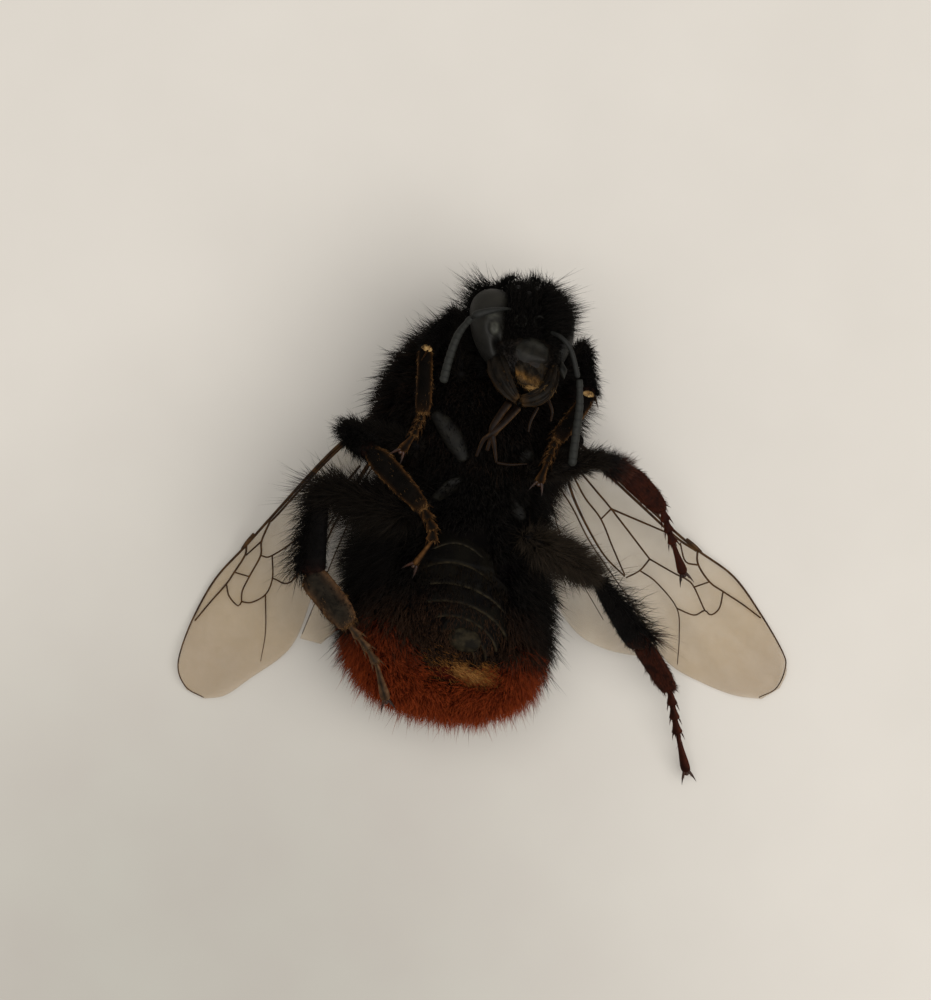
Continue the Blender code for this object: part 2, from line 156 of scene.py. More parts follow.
def rings_of(surface, depth, count, sides):
    u, v = np.meshgrid(np.arange(sides) / sides, np.linspace(0.005, 0.995, count))
    return surface(u, v, depth)


def tail_side(points):
    """How far points are behind the ring where the red tail starts, in millimetres."""
    ring = abdomen_point(np.array((0.0, 0.25, 0.5, 0.75)), np.full(4, TAIL_STARTS), 0)
    along = unit(np.cross(ring[0] - ring[2], ring[1] - ring[3]))
    return (points - ring.mean(0)) @ along


def patch(points, middle, size, power=2):
    """1 in the middle of a patch, seen from the belly side, and fading to 0 round it."""
    x, y = ((points[..., i] - middle[i]) / size[i] for i in (0, 1))
    return np.exp(-x ** power - y ** power)


def redness(points):
    """0 for black and 1 for red: the tail, but for the middle of its belly side. The black comes a
    little further back on both flanks."""
    belly = np.clip((points[..., 2] - 5.6) / 0.8, 0, 1) * np.clip(3.2 - abs(points[..., 0] + 0.7), 0, 1.6)
    behind_sting = np.clip((-5.7 - points[..., 1]) / 0.4, 0, 1)
    flank = 0.55 * patch(points, (-4.6, -3.5), (1.1, 0.9)) + 0.4 * patch(points, (1.9, -4.7), (1.3, 0.8))
    return np.clip(0.5 + (tail_side(points) - flank - 1.6 * belly * (1 - behind_sting)) / 1.1, 0, 1)


def dusk(points):
    """Where the coat turns brown: near the ring where black meets red, more so on the belly side, and
    in a patch on the right flank."""
    near = np.exp(-((tail_side(points) - 0.2) / 0.9) ** 2) * np.clip((points[..., 2] - 3.0) / 3.0, 0.25, 1)
    belly = patch(points, (-0.9, -4.5), (2.4, 1.2), 4) * (points[..., 2] > 5.0)
    flank = 0.95 * patch(points, (-3.4, -4.6), (0.8, 1.0))
    return np.clip(np.maximum(np.maximum(0.8 * near, 0.9 * belly), flank), 0, 1)


def deselect():
    if bpy.context.mode != "OBJECT":
        bpy.ops.object.mode_set(mode="OBJECT")
    bpy.ops.object.select_all(action="DESELECT")


def loft_faces(count, sides, start, endless):
    """The faces of a tube through rings of points. An endless tube's last ring joins its first, and any
    other has a face over each end."""
    faces = [] if endless else [[start + k for k in range(sides)]]
    for i in range(count if endless else count - 1):
        low, high = start + i * sides, start + (i + 1) % count * sides
        faces += [(low + k, low + (k + 1) % sides, high + (k + 1) % sides, high + k) for k in range(sides)]
    return faces if endless else faces + [[start + (count - 1) * sides + k for k in range(sides)]]


def paint(piece, name, values):
    """Gives each point of the piece a value that its material reads."""
    attribute = piece.data.attributes.new(name, "FLOAT", "POINT")
    attribute.data.foreach_set("value", np.asarray(values, np.float32).ravel())


def rings_piece(name, parts, endless=False, **paints):
    """One smooth piece of closed tubes through rings of points in millimetres. Each paint holds, for each
    tube, one value or a value for every point."""
    vertices, faces, start = [], [], 0
    for rings in parts:
        vertices.append(rings.reshape(-1, 3))
        faces += loft_faces(*rings.shape[:2], start, endless)
        start += len(vertices[-1])
    mesh = bpy.data.meshes.new(name)
    mesh.from_pydata((np.concatenate(vertices) * MM).tolist(), [], faces)
    piece = bpy.data.objects.new(name, mesh)
    bpy.context.scene.collection.objects.link(piece)
    bm = bmesh.new()
    bm.from_mesh(mesh)
    bmesh.ops.recalc_face_normals(bm, faces=bm.faces)
    bm.to_mesh(mesh)
    bm.free()
    mesh.shade_smooth()
    for key, values in paints.items():
        shapes = [rings.shape[:2] for rings in parts]
        paint(piece, key, np.concatenate([np.broadcast_to(v, s).ravel() for v, s in zip(values, shapes)]))
    return piece


def soft_tube(name, start, end, radius):
    """A short tube between two bodies."""
    deselect()
    start, end = Vector(start) * MM, Vector(end) * MM
    bpy.ops.mesh.primitive_cylinder_add(
        vertices=32, radius=radius * MM, depth=(end - start).length, location=(start + end) / 2,
        rotation=(end - start).to_track_quat("Z", "Y").to_euler(),
    )
    bpy.context.object.name = name
    return bpy.context.object


def grown_together(name, pieces, voxel, smoothing):
    """The pieces joined and remade as one even surface."""
    deselect()
    for piece in pieces:
        piece.select_set(True)
    bpy.context.view_layer.objects.active = pieces[0]
    bpy.ops.object.join()
    bpy.ops.object.transform_apply(location=True, rotation=True, scale=True)
    pieces[0].name = name
    pieces[0].data.name = name
    remesh = pieces[0].modifiers.new("one surface", "REMESH")
    remesh.mode = "VOXEL"
    remesh.voxel_size = voxel * MM
    smooth = pieces[0].modifiers.new("even", "SMOOTH")
    smooth.factor = 0.5
    smooth.iterations = smoothing
    for modifier in ("one surface", "even"):
        bpy.ops.object.modifier_apply(modifier=modifier)
    pieces[0].data.shade_smooth()
    return pieces[0]


def finish_piece(piece, material, slot, *nodes):
    """Gives a piece its material, puts it on the body, and hides the nodes that it stands for. The slot is
    not used.
    """
    piece.data.materials.clear()
    piece.data.materials.append(material)
    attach(piece, BODY)
    if nodes:
        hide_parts(*nodes)


def linear(code):
    """An sRGB hex value as linear red, green and blue, and 1."""
    parts = [int(code[i:i + 2], 16) / 255 for i in (1, 3, 5)]
    return [p / 12.92 if p <= 0.04045 else ((p + 0.055) / 1.055) ** 2.4 for p in parts] + [1.0]


def new_material(name, roughness, gloss, ior=1.56):
    material = bpy.data.materials.new(name)
    material.use_nodes = True
    shader = material.node_tree.nodes["Principled BSDF"]
    shader.inputs["Roughness"].default_value = roughness
    shader.inputs["IOR"].default_value = ior
    shader.inputs["Specular IOR Level"].default_value = gloss
    return material, shader


def add_node(shader, kind, settings=None, inputs=None, links=None):
    """Adds a node: settings are its properties, inputs its values, and links the outputs that feed it."""
    tree = shader.id_data
    node = tree.nodes.new(kind)
    for key, value in (settings or {}).items():
        setattr(node, key, value)
    for key, value in (inputs or {}).items():
        node.inputs[key].default_value = value
    for key, output in (links or {}).items():
        tree.links.new(output, node.inputs[key])
    return node


def feed(shader, socket, output):
    shader.id_data.links.new(output, shader.inputs[socket])


def ramp(shader, factor, *stops):
    """A colour ramp over a factor. Each stop is a position and an sRGB hex value."""
    node = add_node(shader, "ShaderNodeValToRGB", links={"Fac": factor})
    while len(node.color_ramp.elements) < len(stops):
        node.color_ramp.elements.new(0.5)
    for element, (position, code) in zip(node.color_ramp.elements, stops):
        element.position = position
        element.color = linear(code)
    return node.outputs["Color"]


def mixed(shader, factor, first, second):
    """Two colour outputs mixed by a factor."""
    node = add_node(shader, "ShaderNodeMix", {"data_type": "RGBA"})
    tree = shader.id_data
    tree.links.new(factor, node.inputs[0])
    tree.links.new(first, node.inputs[6])
    tree.links.new(second, node.inputs[7])
    return node.outputs[2]


def painted(shader, name):
    return add_node(shader, "ShaderNodeAttribute", {"attribute_name": name}).outputs["Fac"]


def mottle(shader, size, detail=3.0):
    """Soft uneven patches of about this size in millimetres."""
    place = add_node(shader, "ShaderNodeTexCoord").outputs["Object"]
    noise = add_node(shader, "ShaderNodeTexNoise", inputs={"Scale": 1 / (size * MM), "Detail": detail},
                     links={"Vector": place})
    return noise.outputs["Fac"]


def pitted(shader, size, height, strength):
    """Small close cells of this size, as a bump."""
    place = add_node(shader, "ShaderNodeTexCoord").outputs["Object"]
    cells = add_node(shader, "ShaderNodeTexVoronoi", inputs={"Scale": 1 / (size * MM)},
                     links={"Vector": place}).outputs["Distance"]
    bump = add_node(shader, "ShaderNodeBump", inputs={"Strength": strength, "Distance": height * MM},
                    links={"Height": cells})
    feed(shader, "Normal", bump.outputs["Normal"])


def chitin(name, roughness, gloss, pits, *tones):
    """Chitin with fine pits. Each tone is the paint that shows where it lies, the size of its mottle and
    the stops of its ramp. The first lies everywhere."""
    material, shader = new_material(name, roughness, gloss)
    colour = None
    for where, size, *stops in tones:
        tone = ramp(shader, mottle(shader, size), *stops)
        colour = mixed(shader, painted(shader, where), colour, tone) if where else tone
    feed(shader, "Base Color", colour)
    pitted(shader, *pits)
    return material


# black and nearly matt under the hair, and dark red where the red hair stands
BODY_CHITIN = chitin("black chitin, pitted", 0.8, 0.02, (0.09, 0.02, 0.3),
                     (None, 0.8, (0.35, "#030202"), (0.7, "#070504")),
                     ("red", 0.8, (0.35, "#210703"), (0.7, "#320c05")))
thorax_rings = rings_of(thorax_point, THORAX_COAT, 56, 72)
abdomen_rings = rings_of(abdomen_point, ABDOMEN_COAT, 72, 72)
head_rings = rings_of(head_point, HEAD_COAT, 48, 56)
waist_rings = rings_of(waist_point, THORAX_COAT, 30, 56)
body_skin = grown_together("body_skin", [
    rings_piece("bodies", [thorax_rings, waist_rings, abdomen_rings, head_rings]),
    soft_tube("neck", (1.2, 7.0, 5.6), (1.6, 7.9, 6.5), 1.3),
], 0.1, 8)
skin_places = np.empty(len(body_skin.data.vertices) * 3, np.float32)
body_skin.data.vertices.foreach_get("co", skin_places)
paint(body_skin, "red", redness(skin_places.reshape(-1, 3) / MM))
finish_piece(body_skin, BODY_CHITIN, "black_shell", "thorax", "abdomen", "tail", "head")


# ======== Belly plates and the plates round the sting ========
# The belly side of each ring of the abdomen is a thin plate of black chitin, and each plate's hind edge
# lies over the front of the next. Behind the last, small one, three brown plates close on the sting.

# front edge, hind edge and half width of each plate, in shares of the abdomen
PLATES = ((0.03, 0.19, 0.06), (0.13, 0.31, 0.075), (0.27, 0.44, 0.1), (0.4, 0.55, 0.105),
          (0.51, 0.645, 0.09), (0.6, 0.735, 0.075), (0.69, 0.81, 0.05))
ACROSS_PLATE, DOWN_PLATE = 41, 14  # how many points each plate's mesh has from side to side, and down it


def plate_rings(front, hind, half_width):
    """A thin curved plate: rings run round its edge from one side of the belly to the other. The first
    plates are raised over the waist."""
    across = np.linspace(-1, 1, ACROSS_PLATE)[:, None]
    down = np.linspace(0, 1, DOWN_PLATE)
    outer = 0.12 - (0.1 + 0.2 * down ** 2) * (1 - 0.95 * np.abs(across) ** 2)
    outer = outer + 0.05 * (down > 0.97)
    inner = np.broadcast_to(0.28, outer.shape)
    share = np.concatenate((np.broadcast_to(down, outer.shape), np.broadcast_to(down[::-1], outer.shape)), 1)
    depth = ABDOMEN_COAT + np.concatenate((outer, inner), 1)
    v = front + (hind - front) * share + (0.08 + 0.12 * front) * across ** 2
    u = np.broadcast_to(0.25 - half_width * across, v.shape)
    points = abdomen_point(u, v, depth)
    points[..., 0] += 0.7 * v ** 2
    points[..., 2] += 0.62 * np.clip((0.42 - v) / 0.12, 0, 1)
    return points


def ball(shape, count=28, sides=40):
    """Rings of a ball whose points shape() turns into the part's form, with its poles along y."""
    u, v = np.meshgrid(np.arange(sides) / sides, np.linspace(0.012, 0.988, count))
    x, z = np.sin(np.pi * v) * np.cos(2 * np.pi * u), np.sin(np.pi * v) * np.sin(2 * np.pi * u)
    return np.stack(np.broadcast_arrays(*shape(x, -np.cos(np.pi * v), z)), -1)


def last_plate(x, y, z):
    """The small domed plate in front of the sting."""
    return -0.74 + x * 0.7, -4.68 + y * 0.52 - 0.1 * x, 6.9 + z * 0.2 + 0.01 * np.sin(9 * y)


plates = [plate_rings(*sizes) for sizes in PLATES]
hind_rim = np.linspace(0, 1, DOWN_PLATE) ** 30
hind_rim = np.concatenate((hind_rim, hind_rim[::-1]))[None, :]
belly_plates = rings_piece("belly_plates", [*plates, ball(last_plate)], rim=[hind_rim] * len(plates) + [0.65])
PLATE_CHITIN = chitin("black chitin plate, satin", 0.55, 0.03, (0.07, 0.015, 0.35),
                      (None, 0.7, (0.35, "#040303"), (0.7, "#0c0a06")),
                      ("rim", 0.3, (0.38, "#14110c"), (0.62, "#2f291d")))
finish_piece(belly_plates, PLATE_CHITIN, "black_shell")


def sting_plate(middle, half, turn, cup):
    """One leaf-shaped plate, cupped round the sting."""
    c, s = math.cos(turn), math.sin(turn)

    def shape(x, y, z):
        wide, long = x * half[0] * (1 - 0.35 * y), y * half[1]
        high = z * half[2] + cup * (wide / half[0]) ** 2
        return middle[0] + wide * c - long * s, middle[1] + wide * s + long * c, middle[2] + high
    return ball(shape)


sting_plates = rings_piece("sting_plates", [
    sting_plate((-1.15, -5.98, 6.72), (0.95, 0.34, 0.13), math.radians(-14), -0.12),
    sting_plate((-1.35, -6.45, 6.65), (0.62, 0.3, 0.14), math.radians(172), 0.15),
    sting_plate((-1.45, -6.22, 6.62), (0.4, 0.16, 0.22), math.radians(-14), 0.0),
])
# near black: the plates' own dark brown, deepened by painted shade for the opening round the sting
SHADED_STING_CHITIN = chitin("golden-brown chitin, thin", 0.7, 0.0, (0.06, 0.01, 0.3),
                      (None, 0.12, (0.35, "#070403"), (0.5, "#0e0905"), (0.7, "#1e140a")))
finish_piece(sting_plates, SHADED_STING_CHITIN, "golden_plate", "tail_tip")


# ======== Face: clypeus, labrum, jaws and simple eyes ========
# The bare parts of the face are plates of the same chitin: a domed shield, the upper lip below it, and
# two broad jaws with grooved faces that cross at their ends. Three bead-like simple eyes sit on the crown.

def shell_chitin(name, roughness, gloss, dark, light, *rim):
    """Bare chitin of the face and limbs: satin, finely pitted, between two tones, and between the two
    of its rim where it is thin and lets light through."""
    tones = [(None, 0.35, (0.35, dark), (0.68, light))]
    if rim:
        tones.append(("rim", 0.2, (0.3, rim[0]), (0.7, rim[1])))
    return chitin(name, roughness, gloss, (0.06, 0.012, 0.4), *tones)


FACE_CHITIN = shell_chitin("grey-black chitin, finely pitted", 0.45, 0.1,
                           "#0a0a08", "#201f1a", "#060403", "#1a120a")
JAW_CHITIN = shell_chitin("dark jaw chitin, ridged", 0.5, 0.07, "#080604", "#1a140d", "#1d1208", "#4a3316")
LIP_CHITIN = shell_chitin("brown lip chitin", 0.55, 0.04, "#0d0a07", "#262018", "#33230f", "#684a24")
BEAD_CHITIN = shell_chitin("simple eye, clear bead", 0.4, 0.1, "#0b0a08", "#131110")


def face_ball(centre, half, shape=lambda x, y, z: (x, y, z)):
    """A rounded part of the face, in the head's own directions."""
    def placed(x, y, z):
        x, y, z = shape(x, y, z)
        return centre[0] + x * half[0], centre[1] + y * half[1], centre[2] + z * half[2]
    return on_head(ball(placed))


def shield(x, y, z):
    """Squared off, wider below, and domed."""
    wide = np.sign(x) * np.abs(x) ** 0.85 * (1 - 0.14 * y)
    dents = 0.2 * np.sin(5 * x + 3 * y) * np.cos(4 * y - 2 * x) + 0.2 * np.exp(-((y + 0.75) / 0.14) ** 2)
    return wide, np.sign(y) * np.abs(y) ** 0.85, z + 0.12 * (1 - y) - dents * (z > 0)


def mask(x, y, z):
    """The lower face: broad above and narrower towards the jaws, with low swellings and creases."""
    wide = x * (1 + 0.16 * y)
    crease = 0.1 * np.exp(-((np.abs(x) - 0.62 - 0.1 * y) / 0.07) ** 2) + 0.05 * np.sin(9 * y) * np.abs(x)
    return wide, np.sign(y) * np.abs(y) ** 0.8, z - crease * (z > 0)


def cheek(x, y, z):
    """A small plate at the jaw's root, pointed above and below."""
    return x * (1 - 0.75 * np.abs(y)) - 0.3 * y, y, z


mask_rings = face_ball((0.0, -0.85, 0.6), (1.42, 1.1, 0.5), mask)
face_plates = rings_piece("face_plates", [
    mask_rings,
    face_ball((0.06, -0.7, 0.92), (0.78, 0.66, 0.24), shield),
    face_ball((1.52, -1.3, 0.62), (0.22, 0.42, 0.16), cheek),
], rim=[1.0, (0.9 * (1 - np.linspace(0, 1, 28)) ** 1.5)[:, None], 0.0])  # the shield is darkest below
finish_piece(face_plates, FACE_CHITIN, "black_shell")


def lip(x, y, z):
    """The upper lip: a plate with a bump at each side and a dip between them."""
    wide = np.sign(x) * np.abs(x) ** 0.7
    ridge = 0.9 * np.exp(-((np.abs(x) - 0.5) / 0.25) ** 2) + 0.35 * np.sin(11 * x + 5 * y) - 0.5 * x
    high = np.sign(y) * np.abs(y) ** 0.8 - 0.2 * x
    return wide * (0.82 + 0.2 * y) + 0.1 * y, high, z + ridge * (z > 0) - 0.1


labrum_rings = face_ball((0.02, -1.66, 0.97), (0.84, 0.6, 0.1), lip)


def golden_edge(points):
    """The golden band along the lip's lower right edge."""
    return np.exp(-((points[..., 1] - 6.6 + 0.45 * (points[..., 0] - 1.35)) / 0.17) ** 2)


golden = golden_edge(labrum_rings) * np.clip((2.6 - labrum_rings[..., 0]) / 0.4, 0, 1)
finish_piece(rings_piece("labrum", [labrum_rings], rim=[golden]), LIP_CHITIN, "brown_shell")

beads = [face_ball(place, (0.12, 0.12, 0.11))
         for place in ((-0.42, 2.12, 0.62), (0.42, 2.12, 0.62), (0, 1.85, 0.82))]
finish_piece(rings_piece("simple_eyes", beads), BEAD_CHITIN, "eye")


def smooth_path(points, count):
    """Evenly spaced points on a smooth line through the given ones."""
    points = np.asarray(points, float)
    padded = np.vstack((2 * points[0] - points[1], points, 2 * points[-1] - points[-2]))
    t = np.linspace(0, 1, 24, endpoint=False)[:, None]
    fine = []
    for a, b, c, d in zip(padded, padded[1:], padded[2:], padded[3:]):
        square, cube = 2 * a - 5 * b + 4 * c - d, 3 * b - a - 3 * c + d
        fine.append(0.5 * (2 * b + (c - a) * t + square * t ** 2 + cube * t ** 3))
    fine = np.vstack(fine + [points[-1:]])
    far = np.concatenate(([0], np.cumsum(np.linalg.norm(np.diff(fine, axis=0), axis=1))))
    even = np.linspace(0, far[-1], count)
    return np.stack([np.interp(even, far, fine[:, i]) for i in range(fine.shape[1])], -1)


def ring_turn(sides):
    """How far round a limb's ring each of its points is."""
    return 2 * np.pi * (np.arange(sides) + 0.5) / sides


def limb_rings(points, halves, broad, sides=20, square=2.0, groove=None):
    """Rings round a limb. halves holds its half width and half depth at each point, broad is the way its
    width runs, and groove() changes the depth round the ring."""
    ahead = unit(np.gradient(points, axis=0))
    broad = np.asarray(broad, float)
    side = unit(broad - ahead * (ahead @ broad)[:, None])
    up = np.cross(side, ahead)
    turn = ring_turn(sides)
    c = np.sign(np.cos(turn)) * np.abs(np.cos(turn)) ** (2 / square)
    s = np.sign(np.sin(turn)) * np.abs(np.sin(turn)) ** (2 / square)
    s = s if groove is None else s * groove(turn)
    halves = np.asarray(halves, float)
    wide = halves[:, 0, None, None] * c[None, :, None] * side[:, None]
    deep = halves[:, 1, None, None] * s[None, :, None] * up[:, None]
    return points[:, None] + wide + deep


def tapered(table, count, length, dome=1.0):
    """Half widths and depths at shares of a limb, through a table of (share, half width, half depth),
    rounded off at both ends. Also the shares, which are closest at the ends."""
    share = (1 - np.cos(np.pi * np.linspace(0, 1, count))) / 2
    table = np.array(table)
    halves = np.stack([np.interp(share, table[:, 0], table[:, i]) for i in (1, 2)], -1)
    for _ in range(3):
        halves[1:-1] = (halves[:-2] + 2 * halves[1:-1] + halves[2:]) / 4
    reach = dome * halves[:, 1]
    near = np.clip(np.minimum(share, 1 - share) * length / np.maximum(reach, 1e-6), 0, 1)
    return share, halves * np.maximum(np.sqrt(1 - (1 - near) ** 2), 0.08)[:, None]


def tapered_path(line, steps, table, count, length, dome=1.0):
    """Points along a smooth line where a tapered limb has its rings, with their shares of its length and
    their half sizes."""
    share, halves = tapered(table, count, length, dome)
    return smooth_path(line, steps)[(share * (steps - 1)).astype(int)], share, halves


def segment(start, end, table, broad, bow=0.0, count=30, sides=20, square=2.0):
    """One stiff segment of a limb, bowed sideways by a little."""
    start, end = np.array(start, float), np.array(end, float)
    length = np.linalg.norm(end - start)
    share, halves = tapered(table, count, length)
    side = unit(np.array(broad, float))
    points = start + (end - start) * share[:, None] + bow * np.sin(np.pi * share)[:, None] * side
    return limb_rings(points, halves, broad, sides, square)


SIDES = {"right": -1, "left": 1}
JAW_SIDES = 66  # points in each ring, so that the grooves show
JAWS = {
    "right": ((0.6, 7.25, 8.2), (0.68, 6.75, 8.55), (0.88, 6.25, 8.8), (1.15, 5.8, 8.9), (1.48, 5.42, 8.85)),
    "left": ((3.0, 6.9, 7.9), (2.95, 6.35, 8.25), (2.72, 5.85, 8.55), (2.25, 5.52, 8.68), (1.62, 5.38, 8.65)),
}
JAW_SIZES = {
    "right": ((0, 0.4, 0.2), (0.3, 0.5, 0.22), (0.75, 0.36, 0.17), (1, 0.17, 0.09)),
    "left": ((0, 0.18, 0.2), (0.3, 0.3, 0.2), (0.7, 0.37, 0.17), (1, 0.26, 0.1)),
}


def jaw_grooves(turn):
    return 1 + (0.3 * np.cos(8 * turn) + 0.08 * np.cos(21 * turn)) * (np.abs(np.sin(turn)) > 0.25)


jaw_rings = {}
for side, sign in SIDES.items():
    path, share, halves = tapered_path(JAWS[side], 200, JAW_SIZES[side], 44, 1.9, 0.7)
    jaw_rings[side] = limb_rings(path, halves, (1, -0.75 * sign, -0.3 * sign), JAW_SIDES, 2.6, jaw_grooves)
    outer_edge = np.clip(np.cos(ring_turn(JAW_SIDES)) * sign, 0, 1)[None, :] ** 6
    far_end = np.clip(share * 6 - 5.1, 0, 0.7)[:, None]
    rim = np.maximum(0.7 * outer_edge, far_end)
    piece = rings_piece(f"mandible_{side}_blade", [jaw_rings[side]], rim=[rim])
    finish_piece(piece, JAW_CHITIN, "brown_shell", f"mandible_{side}")


# ======== Compound eyes ========
# Each is a long oval on the side of the head, widest near its top: a grey-black lens field of thousands
# of facets under one hard clear skin, set in a narrow dark rim.

# the middle and the half sizes of each, in the head's own directions
EYES = {"right": ((-1.56, 0.42, 0.14), (0.76, 1.7, 0.9)), "left": ((1.46, 0.2, -0.12), (0.74, 1.6, 0.85))}
EYE_TAPER = 0.46  # how much wider each gets towards its top
FACING = 7.6  # what is higher than this faces the camera


def eye_surface():
    """Facets are about 0.025 mm across: too fine to show, so they are drawn twice as coarse. They make
    the eye matt, with a soft wide gloss."""
    material, shader = new_material("compound eye, facetted, satin", 0.55, 0.2, 1.5)
    field = ramp(shader, mottle(shader, 1.0, 4.0), (0.3, "#100f0c"), (0.7, "#201e19"))
    # near black: painted shade in the right eye's dip and along its crack, and the darker tone of both eyes'
    # lower parts
    shade_and_wear_tone = ramp(shader, mottle(shader, 0.3), (0.3, "#030302"), (0.7, "#0c0a07"))
    dried = ramp(shader, mottle(shader, 0.2), (0.3, "#23231e"), (0.7, "#45453d"))
    field = mixed(shader, painted(shader, "pale"), field, dried)
    feed(shader, "Base Color", mixed(shader, painted(shader, "rim"), field, shade_and_wear_tone))
    pitted(shader, 0.055, 0.01, 0.5)
    return material


def eye_rings(side):
    """The lens field, squared off above and leaning towards the face."""
    centre, half = EYES[side]

    def field(x, y, z):
        square = np.sign(y) * np.abs(y) ** np.where(y > 0, 0.75, 1.0)
        wide = np.sign(x) * np.abs(x) ** 0.9 * (1 + EYE_TAPER * y) * half[0]
        x = centre[0] - SIDES[side] * 0.22 * y ** 2 + wide
        return x, centre[1] + square * half[1], centre[2] + z * half[2]
    return on_head(ball(field, 64, 72))


EYE_SURFACE = eye_surface()
for side in SIDES:
    lens = eye_rings(side)
    x, y = lens[..., 0].copy(), lens[..., 1].copy()
    # only the right eye has dried unevenly: it sank in beside the face, round one pale swelling with a crack
    # along it, and a pale flake lies above. The dip and one side of the crack are painted near black as
    # painted shade, and both eyes are painted darker towards their lower ends
    dried = (side == "right") * (lens[..., 2] > FACING)
    # a dip, which is also painted near black as painted shade
    sunk_and_shaded = patch(lens, (0.6, 7.84), (0.17, 0.28)) * dried
    from_swelling = np.hypot((x - 0.52) * 1.3, y - 8.47)
    swollen = np.exp(-(from_swelling / 0.27) ** 6) * dried
    lens[..., 2] += 0.07 * swollen - 0.3 * sunk_and_shaded
    dried = (side == "right") * (lens[..., 2] > FACING)
    # a crack round the swelling, darkened on one side only: painted shade in it
    shaded_crack = np.exp(-((from_swelling - 0.35) / 0.07) ** 2) * dried
    shaded_crack = shaded_crack * np.clip(0.45 - 1.7 * (x - 0.52) - 0.5 * (y - 8.47), 0, 1)
    # darker towards the lower part of each eye, and painted shade along the crack
    wear_and_shade = np.maximum(0.6 * np.clip((8.6 - y) / 1.3, 0, 1) ** 0.7, 0.9 * shaded_crack)
    creased = np.sin(8 * x + 5 * y) * np.sin(6 * y - 4 * x)
    lens[..., 2] -= 0.05 * shaded_crack + 0.045 * wear_and_shade * creased * (from_swelling > 0.35)
    flake = np.exp(-(((x - 0.42) / 0.27) ** 2 + ((y - 9.0) / 0.11) ** 2) ** 2)
    pale = np.maximum(swollen, 0.8 * flake * (side == "right") * (lens[..., 2] > FACING))
    eye_shade_and_wear = np.clip(np.maximum(1.6 * sunk_and_shaded, wear_and_shade), 0, 1)
    piece = rings_piece(f"eye_{side}_lens", [lens], rim=[eye_shade_and_wear], pale=[pale])
    finish_piece(piece, EYE_SURFACE, "eye", f"eye_{side}")


# ======== Antennae ========
# A long scape from its socket to the elbow, a small pedicel and ten short drums, all of black chitin
# under a grey felt of hairs too fine to see. The right one lies across the eye and hangs down beside it,
# and its root is thin. Each stands in a ring-shaped socket.

SCAPES = {
    "right": ((1.6, 9.15, 7.6), (1.1, 9.28, 8.2), (0.4, 9.2, 8.75), (-0.42, 8.97, 8.85)),
    "left": ((2.9, 8.3, 8.0), (3.35, 8.05, 8.5), (3.75, 7.5, 8.55), (4.04, 6.35, 8.4)),
}
FLAGELLA = {
    "right": ((-0.45, 8.9, 8.85), (-1.0, 8.2, 8.5), (-1.38, 7.2, 8.3), (-1.65, 6.15, 8.1)),
    "left": ((4.1, 6.3, 8.35), (4.1, 5.2, 8.3), (3.95, 4.0, 8.2), (3.78, 2.65, 8.0)),
}
# the felt takes the gloss off, and the joints between the drums are darker
FELT = chitin("black chitin under grey felt", 0.65, 0.2, (0.05, 0.008, 0.5),
              (None, 0.15, (0.3, "#121310"), (0.7, "#20201c")),
              ("rim", 0.15, (0.3, "#0a0a09"), (0.7, "#141412")))
# (share, half thickness) along each scape
SCAPE_SIZES = {"right": ((0, 0.048), (0.35, 0.06), (0.8, 0.16), (1, 0.19)),
               "left": ((0, 0.0792), (0.35, 0.099), (0.8, 0.1056), (1, 0.1254))}
FLAGELLUM_RINGS, DRUMS = 140, 11  # the first drum is the pedicel

for side in SIDES:
    table = [(share, half, half) for share, half in SCAPE_SIZES[side]]
    path, share, halves = tapered_path(SCAPES[side], 400, table, 48, 1.9)
    piece = rings_piece(f"scape_{side}", [limb_rings(path, halves, (0, 1, 0), 24)], rim=[0.6])
    finish_piece(piece, FELT, "black_shell", f"antenna_{side}_scape")
    path = smooth_path(FLAGELLA[side], FLAGELLUM_RINGS)
    share = np.linspace(0, 1, FLAGELLUM_RINGS)
    from_joint = np.abs(2 * ((share * DRUMS) % 1) - 1)
    width = np.interp(share, (0, 0.09, 0.1, 0.3, 0.95, 1), (0.13, 0.16, 0.13, 0.17, 0.19, 0.17))
    end = np.sqrt(1 - (1 - np.clip((1 - share) / 0.05, 0, 1)) ** 2)
    thick = width * (1 - 0.12 * from_joint ** 6) * np.maximum(end, 0.1)
    rings = limb_rings(path, np.stack((thick, thick), -1), (0, 0, 1), 24)
    piece = rings_piece(f"flagellum_{side}", [rings], rim=[(from_joint ** 8)[:, None]])
    finish_piece(piece, FELT, "black_shell", f"antenna_{side}_flagellum")


def socket(sign):
    """The raised ring that an antenna stands in, on its side of the face."""
    turn = np.linspace(0, 2 * np.pi, 33)[:-1, None]
    round_it = np.linspace(0, 2 * np.pi, 13)[None, :-1]
    out = 0.24 + 0.06 * np.cos(round_it)
    x = out * np.cos(turn)
    z = 1.0 + (0.06 * np.sin(round_it) - sign * 0.1 * x)
    return on_head(np.stack((sign * 0.42 + x, 0.62 + out * np.sin(turn), z), -1))


sockets = rings_piece("antenna_sockets", [socket(-1), socket(1)], endless=True)
finish_piece(sockets, FACE_CHITIN, "black_shell")


# ======== Tongue ========
# Two long blades of brown chitin that fold round the tongue, the tongue's hairy end between them, and
# a pair of thin feelers. They hang from under the jaws and lie on the chest.

